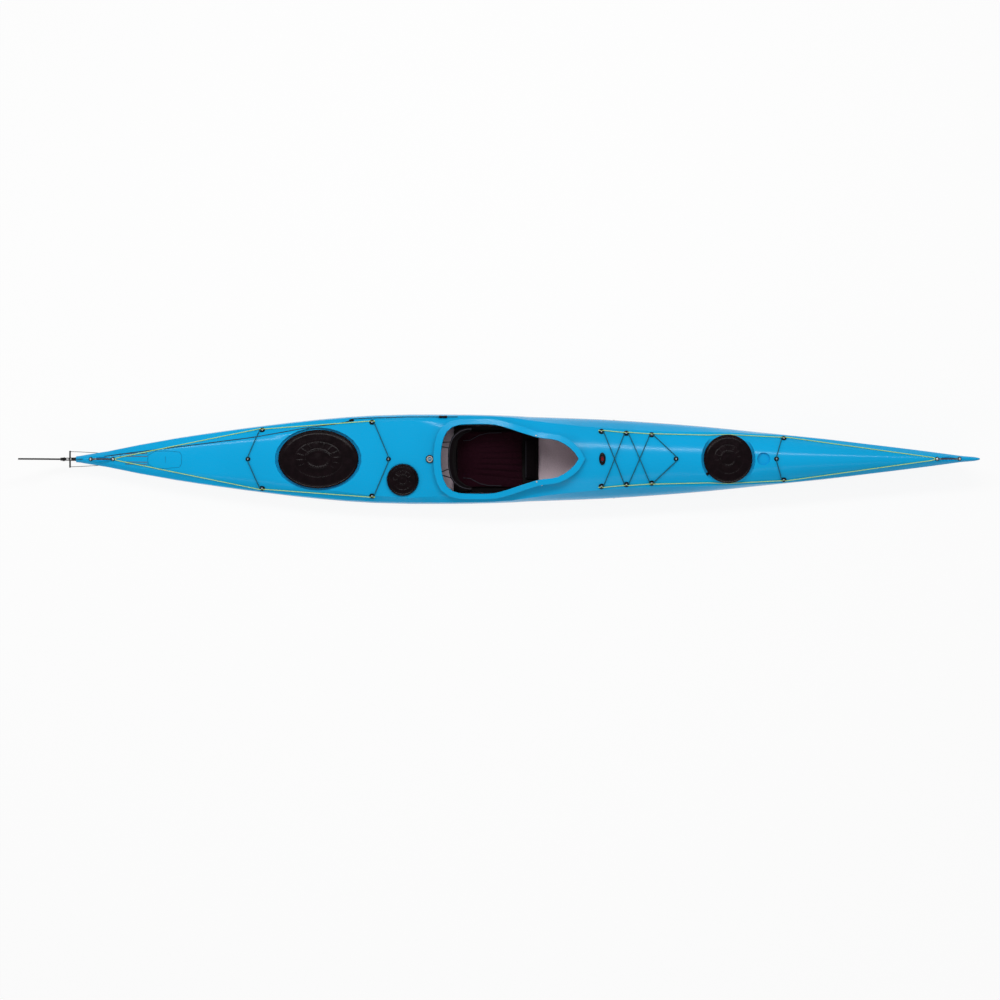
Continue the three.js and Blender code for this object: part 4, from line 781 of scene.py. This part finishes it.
# Plan from the middle to a wing: X, Y and the share of the full height
BAND_HALF_PLAN = [
    (-0.4647, 0, 1), (-0.4598, 0.0627, 0.985), (-0.4416, 0.1212, 0.94), (-0.4002, 0.1609, 0.87),
    (-0.3589, 0.1756, 0.81), (-0.3241, 0.1777, 0.77),
]
BAND_PLAN = [Vector((x, -y, top)) for x, y, top in BAND_HALF_PLAN[:0:-1]]
BAND_PLAN += [Vector(row) for row in BAND_HALF_PLAN]
# Section: shares of the half thickness and of the height
BAND_SECTION = [
    (0.2, 0.0), (0.8, 0.08), (1.0, 0.25), (1.1, 0.5), (1.0, 0.75), (0.85, 0.93), (0.2, 1.0),
    (-0.6, 0.97), (-0.95, 0.8), (-0.85, 0.5), (-0.95, 0.25), (-0.6, 0.03),
]


def band_at(share, offset, rise):
    """A point of the band: share from wing to wing, offset outward, rise as a share of its height.

    The middle of the band leans, with its foot further forward than its top.
    """
    spans = len(BAND_PLAN) - 1
    i = min(int(share * spans), spans - 1)
    t = share * spans - i
    near = [BAND_PLAN[min(max(i + k, 0), spans)] for k in (-1, 0, 1, 2)]
    point = spline(near, t)
    along = (near[2] - near[1]).normalized()
    out = Vector((-along.y, along.x, 0)).normalized()
    height = point.z * BAND_TOP - BAND_BOTTOM
    lean = BAND_LEAN * (1 - rise) * (1 - (2 * share - 1) ** 2)
    return Vector((point.x + lean, point.y, BAND_BOTTOM + rise * height)) + out * offset


def band_mesh(steps=40):
    """The closed band, thinner towards its wings."""
    points = []
    faces = []
    size = len(BAND_SECTION)
    for i in range(steps + 1):
        share = i / steps
        taper = 1 - 0.45 * abs(share * 2 - 1) ** 4
        points += [band_at(share, offset * BAND_HALF * taper, rise) for offset, rise in BAND_SECTION]
    for i in range(steps):
        for k in range(size):
            after = (k + 1) % size
            faces.append([i * size + k, i * size + after, (i + 1) * size + after, (i + 1) * size + k])
    faces.append(list(range(size)))
    faces.append([steps * size + k for k in range(size)])
    return mesh_of("back_band", points, faces)


def clear_of_sides(point):
    """Keeps a point of the band off the cockpit's sides, the seat and the coaming's top."""
    y = min(max(point.y, -BAND_SIDE_LIMIT), BAND_SIDE_LIMIT)
    z = min(max(point.z, BAND_BOTTOM - BAND_MARGIN), BAND_TOP + BAND_MARGIN)
    return Vector((point.x, y, z))


mesh = plumped(band_mesh(), voxel=0.005, cap=0.005, allowed=clear_of_sides)
band = piece("back_band", mesh, "backrest_body", "black_foam")
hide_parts("backrest")
BAND_SHARES = [step / 30 for step in range(1, 30)]
route = [band_at(share, 0.003, 1.0) + Vector((0, 0, 0.0018)) for share in BAND_SHARES]
piece("band_piping", tube("band_piping", route, PIPING_RADIUS), "backrest_body", "piping")
route = [band_at(share, -0.0105, 0.62) for share in BAND_SHARES]
piece("band_seam", tube("band_seam", route, 0.0016), "backrest_body", "black_foam")

PIVOT_PLACE = (-0.345, 0.1862, 0.147)
PIVOT_PROFILE = [
    (0, -0.0085), (0.011, -0.0085), (0.013, -0.0065), (0.013, 0.0055), (0.0118, 0.0078), (0.0075, 0.0086),
    (0.0062, 0.0072), (0.0045, 0.0072), (0.0038, 0.0086), (0, 0.0086),
]
for side, label in SIDES:
    name = f"backrest_pivot_{label}"
    boss = turned(name, PIVOT_PROFILE, steps=28)
    x, y, z = PIVOT_PLACE
    boss.transform(Matrix.Translation((x, side * y, z)) @ Matrix.Rotation(-side * math.pi / 2, 4, "X"))
    piece(name, boss, "backrest_body", "black_plastic")

# Each cord's place under the coaming, and its share of the band from wing to wing
LASHINGS = [
    ((-0.5135, 0.075), 0.60), ((-0.508, 0.100), 0.66), ((-0.5125, -0.077), 0.405), ((-0.508, -0.098), 0.32),
]
LASHING_HEIGHT = 0.226
LASHING_RADIUS = 0.0032
LASHING_SAG = Vector((0, 0, 0.004))
for number, (start, share) in enumerate(LASHINGS, 1):
    name = f"band_lashing_{number}"
    near = Vector((*start, LASHING_HEIGHT))
    far = band_at(share, BAND_HALF, 0.86)
    sag = near.lerp(far, 0.5) - LASHING_SAG
    mesh = tube(name, [near, near.lerp(sag, 0.5), sag, sag.lerp(far, 0.5), far], LASHING_RADIUS)
    bent(name, mesh)


# Rudder cables and haul line, split into lengths where they follow the rudder, the footrests and the pedals

CUTS = 12


def strand(name, node, low, high, start, end):
    """The length of a cord's node between two places along the hull, as a black cord on no body.

    Cuts across it between start and end add rings of edges.
    """
    work = welded(node)
    for place, way in ((low, -1), (high, 1)):
        everything = [*work.verts, *work.edges, *work.faces]
        bmesh.ops.bisect_plane(
            work, geom=everything, plane_co=(place, 0, 0), plane_no=(way, 0, 0), clear_outer=True,
        )
        bmesh.ops.holes_fill(work, edges=[edge for edge in work.edges if edge.is_boundary], sides=0)
    for step in range(1, CUTS):
        everything = [*work.verts, *work.edges, *work.faces]
        place = start + (end - start) * step / CUTS
        bmesh.ops.bisect_plane(work, geom=everything, plane_co=(place, 0, 0), plane_no=(1, 0, 0))
    bent(name, finished(work, name), node)


for _, label in SIDES:
    node = f"rudder_cable_{label}"
    strand(f"{node}_stern", node, -3.0, -1.9, -2.705, -2.757)
    strand(f"{node}_middle", node, -1.9, 0.6, 0.2, 0.58)
    strand(f"{node}_foot", node, 0.6, 1.0, 0.62, 0.694)
strand("rudder_haul_line_deck", "rudder_haul_line", -2.757, -2.5, -2.720, -2.757)

# The haul line's last length wraps round the hub and ends in the blade's upper edge
HAUL_RADIUS = 0.002
HAUL_END = [
    (-2.7555, 0, 0.1679), (-2.765, 0, 0.1670), (-2.775, 0, 0.1627), (-2.785, 0, 0.1574),
    (-2.7925, 0, 0.1556), (-2.800, 0, 0.1554), (-2.8075, 0, 0.1574), (-2.813, 0, 0.1600),
]
name = "rudder_haul_line_blade"
mesh = tube(name, HAUL_END, HAUL_RADIUS, smooth=6)
bent(name, mesh, "rudder_haul_line")


# Thigh braces: foam plates under the deck, fuller in the middle of their lower face

FOAM_CROWN = 0.004
for name in ("thigh_brace_port", "thigh_brace_starboard"):
    plate = finished(welded(name), f"{name}_foam")
    low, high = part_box(name)
    middle = (Vector(low) + Vector(high)) / 2
    reach = (Vector(high) - Vector(low)) / 2

    def under_deck(point, middle=middle, reach=reach):
        edge = max(abs(point.x - middle.x) / reach.x, abs(point.y - middle.y) / reach.y)
        return point - Vector((0, 0, FOAM_CROWN * (1 - min(edge, 1) ** 2)))

    foam = plumped(plate, voxel=0.005, cap=0.0, allowed=under_deck)
    obj = piece(f"{name}_foam", foam, "kayak", "black_foam")
    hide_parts(name)


# Rubber hatch covers: a beaded rim, a stepped crown with radial ribs and a raised hub

COVERS = {
    "rear": {
        "centre": (-1.257, 0, 0.170), "radius": 0.175, "stretch": 240 / 175,
        "ribs": 16, "height": 0.0018, "lip": 0.002,
    },
    "day": {
        "centre": (-0.747, -0.125, 0.1999), "radius": 0.095, "lean": 0.03485,
        "ribs": 9, "height": 0.0013,
    },
    "front": {"centre": (1.211, 0, 0.284), "radius": 0.1435, "ribs": 14, "height": 0.0012, "lip": 0.003},
}
COVER_STEPS = 160
COVER_WALL = 0.0094
CROWN_EDGE = 0.0272
CROWN_RISE = 0.010
# Shares of the radius: the crown with its groove, and the hub with what it rises over the crown
CROWN_SHARES = (
    0.85, 0.80, 0.75, 0.70, 0.66, 0.635, 0.615, 0.6, 0.585, 0.57, 0.54, 0.5, 0.46, 0.42, 0.38, 0.345,
)
GROOVE_FROM, GROOVE_TO, GROOVE_DEPTH = 0.59, 0.62, 0.0016
HUB_SHARES = (
    (0.325, 0.0022), (0.31, 0.0036), (0.29, 0.0038), (0.275, 0.0024), (0.26, 0.0008), (0.2, 0.0004),
    (0.1, 0.0010),
)
RIB_FROM, RIB_TO, RIB_FADE = 0.36, 0.58, 0.03


def cover_profile(radius, lip):
    """Profile of a cover, from the middle of its underside round its edge to the middle of its hub."""
    edge = radius - COVER_WALL
    outer = radius + lip
    under = [
        (0, 0.022), (edge, 0.022), (edge, 0.0055), (edge + 0.0015, 0.005), (outer - 0.0012, 0.005),
        (outer, 0.0065),
    ]
    bead = [
        (0, 0.019), (0.0006, 0.0225), (0.0022, 0.0252), (0.005, 0.0268), (0.008, 0.0266), (0.0105, 0.0252),
        (0.013, 0.025), (0.0155, 0.0272),
    ]

    def dome(share, rise=0.0):
        return radius * share, CROWN_EDGE + (1 - share) * CROWN_RISE + rise

    crown = [dome(share, -GROOVE_DEPTH if GROOVE_FROM < share < GROOVE_TO else 0) for share in CROWN_SHARES]
    hub = [dome(share, rise) for share, rise in HUB_SHARES]
    return [*under, *[(outer - inward, height) for inward, height in bead], *crown, *hub, (0, 0.0388)]


def ribs(radius, count, height):
    """Radial ribs round the hub, as what they add to the cover's height."""
    def wobble(place, angle):
        share = place / radius
        if not RIB_FROM < share < RIB_TO:
            return 0
        fade = min((share - RIB_FROM) / RIB_FADE, (RIB_TO - share) / RIB_FADE, 1)
        return height * fade * max(math.cos((angle + 0.3) * count), 0) ** 6
    return wobble


for name, values in COVERS.items():
    radius = values["radius"]
    profile = cover_profile(radius, values.get("lip", 0))
    stretch = (values.get("stretch", 1), 1)
    wobble = ribs(radius, values["ribs"], values["height"])
    skin = turned(f"{name}_hatch_skin", profile, COVER_STEPS, stretch, wobble)
    lean = Matrix.Rotation(values.get("lean", 0), 4, "X")
    skin.transform(Matrix.Translation(values["centre"]) @ lean)
    obj = piece(f"{name}_hatch_skin", skin, f"{name}_cover", "black_rubber")
    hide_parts(f"{name}_hatch_cover")


# A rubber pull tab on the front cover's edge

TAB_ROWS = 8
TAB_ANGLE = math.radians(216)
TAB_ROOT, TAB_LENGTH, TAB_HALF = 0.1400, 0.022, 0.0085
TAB_LEVEL = 0.2895
tab_points = []
tab_faces = [[3, 2, 1, 0], [TAB_ROWS * 4 + k for k in range(4)]]
for row in range(TAB_ROWS + 1):
    out = TAB_ROOT + row / TAB_ROWS * TAB_LENGTH
    top = 0.0035 + 0.0012 * math.sin(row / TAB_ROWS * math.pi)
    half = TAB_HALF * (1 if row < 6 else math.cos((row - 5) / 4 * math.pi / 2) + 0.18)
    for across, level in ((-half, 0), (half, 0), (half * 0.8, top), (-half * 0.8, top)):
        tab_points.append((
            COVERS["front"]["centre"][0] + out * math.cos(TAB_ANGLE) - across * math.sin(TAB_ANGLE),
            out * math.sin(TAB_ANGLE) + across * math.cos(TAB_ANGLE),
            TAB_LEVEL + level,
        ))
    if row < TAB_ROWS:
        for k in range(4):
            here = row * 4 + k
            after = row * 4 + (k + 1) % 4
            tab_faces.append([here, after, after + 4, here + 4])
mesh = mesh_of("front_cover_tab", tab_points, tab_faces)
tab = piece("front_cover_tab", mesh, "front_cover", "black_rubber", smooth=False)
bevel = tab.modifiers.new("bevel", "BEVEL")
bevel.width = 0.0012
bevel.segments = 2


# Steel screw heads with a socket

SCREW_PROFILE = [
    (0, 0), (1, 0), (1, 0.22), (0.86, 0.46), (0.6, 0.6), (0.46, 0.62), (0.42, 0.3), (0, 0.3),
]
SCREW_STEPS = 24
WASHER_PROFILE = [(0, 0), (0.0125, 0), (0.0125, 0.0012), (0.0115, 0.0026), (0.0085, 0.0032), (0, 0.0032)]


def screw(name, matrix, radius):
    """A screw head of a radius where the matrix puts it."""
    head = turned(name, [(radius * out, radius * height) for out, height in SCREW_PROFILE], SCREW_STEPS)
    head.transform(matrix)
    piece(name, head, "kayak", "stainless_steel")


FITTING_ENDINGS = ("_fitting_port", "_fitting_starboard", "_ring")
for name in [name for name in nodes if name.endswith(FITTING_ENDINGS) and name != "security_ring"]:
    low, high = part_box(name)
    place = seated((low[0] + high[0]) / 2, (low[1] + high[1]) / 2, HEAD_LIFT, above_tree)
    screw(f"{name}_screw", place, 0.0046)
for name, places in (("bow_handle", (2.466, 2.601)), ("stern_handle", (-2.634, -2.499))):
    for number, x in enumerate(places, 1):
        screw(f"{name}_screw_{number}", seated(x, 0, HEAD_LIFT, above_tree), 0.0078)
        foot = turned(f"{name}_washer_{number}", WASHER_PROFILE)
        foot.transform(seated(x, 0, 0.0003))
        piece(f"{name}_washer_{number}", foot, "kayak", "black_plastic")
for label, x, y in (("port", 0.057, 0.139), ("starboard", 0.060, -0.137)):
    screw(f"brace_screw_{label}", seated(x, y, HEAD_LIFT, above_tree), 0.0055)

side_tree = probe("hull_shell", "deck_shell")
for side, label in SIDES:
    for kind, x, z in (("deck", 0.091, 0.293), ("rail", 0.529, 0.141)):
        hit, normal, _, _ = side_tree.ray_cast(Vector((x, side * CLEAR, z)), Vector((0, -side, 0)))
        screw(f"{kind}_screw_{label}", stood(hit, normal), 0.0056)


# A drain plug under the stern

DRAIN_PLACE = Vector((-2.088, 0.0005, -CLEAR))
DRAIN_PROFILE = [
    (0, 0), (0.0075, 0), (0.0075, 0.0012), (0.0062, 0.0030), (0.0050, 0.0052), (0.0030, 0.0064), (0, 0.0066),
]
hit, normal, _, _ = side_tree.ray_cast(DRAIN_PLACE, Vector((0, 0, 1)))
drain = turned("stern_drain", DRAIN_PROFILE, SCREW_STEPS)
drain.transform(stood(hit, normal))
piece("stern_drain", drain, "kayak", "black_plastic")


# Security ring's gasket and bar, the pump outlet's plug and the haul line's fairlead

ring_place = seated(-0.584, 0, 0.0012)
GASKET_RADIUS, GASKET_HEIGHT, GASKET_STEPS = 0.0215, 0.0078, 24
angles = [step / GASKET_STEPS * math.tau for step in range(GASKET_STEPS)]
route = [
    ring_place @ Vector((GASKET_RADIUS * math.cos(angle), GASKET_RADIUS * math.sin(angle), GASKET_HEIGHT))
    for angle in angles
]
mesh = tube("ring_gasket", route, 0.003, sides=12, smooth=2, closed=True)
piece("ring_gasket", mesh, "kayak", "black_rubber")
BAR_ARCH = [
    (-0.0135, 0.002), (-0.0115, 0.008), (-0.006, 0.0115), (0, 0.0122), (0.006, 0.0115), (0.0115, 0.008),
    (0.0135, 0.002),
]
route = [ring_place @ Vector((x, 0, z)) for x, z in BAR_ARCH]
piece("ring_bar", tube("ring_bar", route, 0.0026, sides=12, smooth=4), "kayak", "stainless_steel")

PLUG_PROFILE = [
    (0, 0.0005), (0.0084, 0.0005), (0.0086, 0.006), (0.0078, 0.0078), (0.0058, 0.0084), (0.0045, 0.0066),
    (0.0018, 0.0066), (0, 0.0072),
]
plug = turned("outlet_plug", PLUG_PROFILE, steps=40, stretch=(1, 1.6))
plug.transform(seated(0.454, 0, 0.0006))
piece("outlet_plug", plug, "kayak", "red_rubber")

FAIRLEAD_PROFILE = [
    (0, 0), (0.0105, 0), (0.0112, 0.0016), (0.0098, 0.0042), (0.0074, 0.0078), (0.0052, 0.0094), (0, 0.0096),
]
lead = turned("haul_fairlead", FAIRLEAD_PROFILE, steps=28, stretch=(1.5, 0.9))
lead.transform(seated(-1.0575, 0.233))
piece("haul_fairlead", lead, "kayak", "black_plastic")


# The haul line lies along the port deck from the stern to its fairlead

LEAD_RADIUS, LEAD_LIFT = 0.0022, 0.0021
LEAD_PIXELS = [
    (104, 456.3), (120, 454.1), (141.6, 451.3), (170, 447.8), (200, 444), (230, 440.2), (260, 436.3),
    (285, 431.8), (301, 428.8), (318, 426.3), (335, 424.2), (350, 421.2),
]


def over_deck(pixels, lift, parts=3, closed=False):
    """A route over the deck through pixels of the top view, with each step split in parts."""
    flat = [to_world(*pixel) for pixel in pixels]
    ends = flat[1:] + flat[:1] if closed else flat[1:]
    finer = [a.lerp(b, part / parts) for a, b in zip(flat, ends) for part in range(parts)]
    if not closed:
        finer.append(flat[-1])
    return [on_deck(point.x, point.y, lift)[0] for point in finer]


mesh = tube("haul_line_lead", over_deck(LEAD_PIXELS, LEAD_LIFT), LEAD_RADIUS)
piece("haul_line_lead", mesh, "kayak", "black_cord")


# On the stern deck: a moulded rounded panel with a mark in its middle, drawn as dark-blue lines of painted
# shade, and the rudder cables' sleeves

PANEL_PIXELS = [
    (147.8, 455.1), (155.2, 451.1), (167.3, 450.9), (179.3, 452), (181.3, 455.1), (181.6, 459.5),
    (181.3, 463.8), (179.3, 467.1), (167.3, 468.2), (155.2, 468.5), (147.8, 463.8), (147.4, 459.5),
]
MARK_PIXELS = [(165.2, 456.4), (165.2, 459.4), (165.2, 462.5)]
GROOVE_RADIUS, GROOVE_LIFT = 0.0013, -0.0003
SLEEVE_RADIUS, SLEEVE_LIFT = 0.0016, 0.0012
SLEEVES = {
    "sleeve_port_1": [(119, 453.9), (128, 453.6), (138, 453.5), (147, 453.6)],
    "sleeve_port_2": [(119, 456.2), (128, 456.3), (138, 456.3), (147, 456.3)],
    "sleeve_starboard_1": [(125, 463.9), (133, 464.1), (140, 464.2), (147, 464.2)],
    "sleeve_starboard_2": [(125, 461.8), (133, 461.9), (140, 462.0), (147, 462.1)],
}
# the panel's outline and mark: dark-blue tubes painted as the shade in moulded grooves
mesh = tube("panel_line", over_deck(PANEL_PIXELS, GROOVE_LIFT, closed=True), GROOVE_RADIUS, closed=True)
piece("panel_line", mesh, "kayak", "groove_shade_line")
mesh = tube("panel_mark", over_deck(MARK_PIXELS, GROOVE_LIFT, parts=1), GROOVE_RADIUS)
piece("panel_mark", mesh, "kayak", "groove_shade_line")
for name, pixels in SLEEVES.items():
    mesh = tube(name, over_deck(pixels, SLEEVE_LIFT, parts=1), SLEEVE_RADIUS)
    piece(name, mesh, "kayak", "sleeve")


# Floor, lights and world

FLOOR_HALF = 30
FLOOR_GLOW = 0.9
WORLD_LIGHT, WORLD_SEEN = 0.50, 1.0

corners = [(FLOOR_HALF * x, FLOOR_HALF * y, 0) for x, y in ((-1, -1), (1, -1), (1, 1), (-1, 1))]
floor_mesh = mesh_of("floor", corners, [[0, 1, 2, 3]])
floor = bpy.data.objects.new("floor", floor_mesh)
scene.collection.objects.link(floor)


def paper_white():
    """White floor: as seen it is nearly white with the object's soft shadow."""
    paint = Paint("floor_white", 0.9)
    grain = paint.noise(3.0, 2.0)
    paint.set(Base_Color=paint.mix(grain, (0.80, 0.80, 0.80), (0.82, 0.82, 0.82)), Specular_IOR_Level=0.0)
    rays = paint.node("ShaderNodeLightPath").outputs
    reflected = paint.math("MAXIMUM", rays["Is Glossy Ray"], rays["Is Transmission Ray"])
    seen = paint.math("MAXIMUM", rays["Is Camera Ray"], reflected)
    glow = paint.node("ShaderNodeEmission")
    glow.inputs["Strength"].default_value = 1.0
    blend = paint.node("ShaderNodeMixShader")
    paint.link(paint.math("MULTIPLY", seen, FLOOR_GLOW), blend.inputs[0])
    paint.link(paint.shader.outputs[0], blend.inputs[1])
    paint.link(glow.outputs[0], blend.inputs[2])
    paint.link(blend.outputs[0], paint.tree.nodes["Material Output"].inputs["Surface"])
    return paint.material


floor_mesh.materials.append(paper_white())

world = bpy.data.worlds.new("studio")
scene.world = world
world.use_nodes = True
tree = world.node_tree
background = tree.nodes["Background"]
path = tree.nodes.new("ShaderNodeLightPath")
strength = tree.nodes.new("ShaderNodeMapRange")
strength.inputs["To Min"].default_value = WORLD_LIGHT
strength.inputs["To Max"].default_value = WORLD_SEEN
tree.links.new(path.outputs["Is Camera Ray"], strength.inputs["Value"])
tree.links.new(strength.outputs["Result"], background.inputs["Strength"])
background.inputs["Color"].default_value = (1, 1, 1, 1)


def softbox(name, place, aim, size, power):
    """A rectangular area lamp; size in metres, power in watts."""
    data = bpy.data.lights.new(name, "AREA")
    data.shape = "RECTANGLE"
    data.size, data.size_y = size
    data.energy = power
    lamp = bpy.data.objects.new(name, data)
    lamp.location = place
    direction = Vector(aim) - Vector(place)
    lamp.rotation_euler = direction.to_track_quat("-Z", "Y").to_euler()
    scene.collection.objects.link(lamp)


softbox("overhead", (-0.3, 2.8, 5.4), (0, 0, 0.1), (7.0, 0.7), 205)
softbox("starboard_side", (-0.4, -3.6, 3.6), (0, 0, 0.1), (7.0, 1.0), 24)
softbox("stern_glint", (-7.5, 0.3, 4.2), (-1.0, 0, 0.2), (0.5, 0.5), 45)
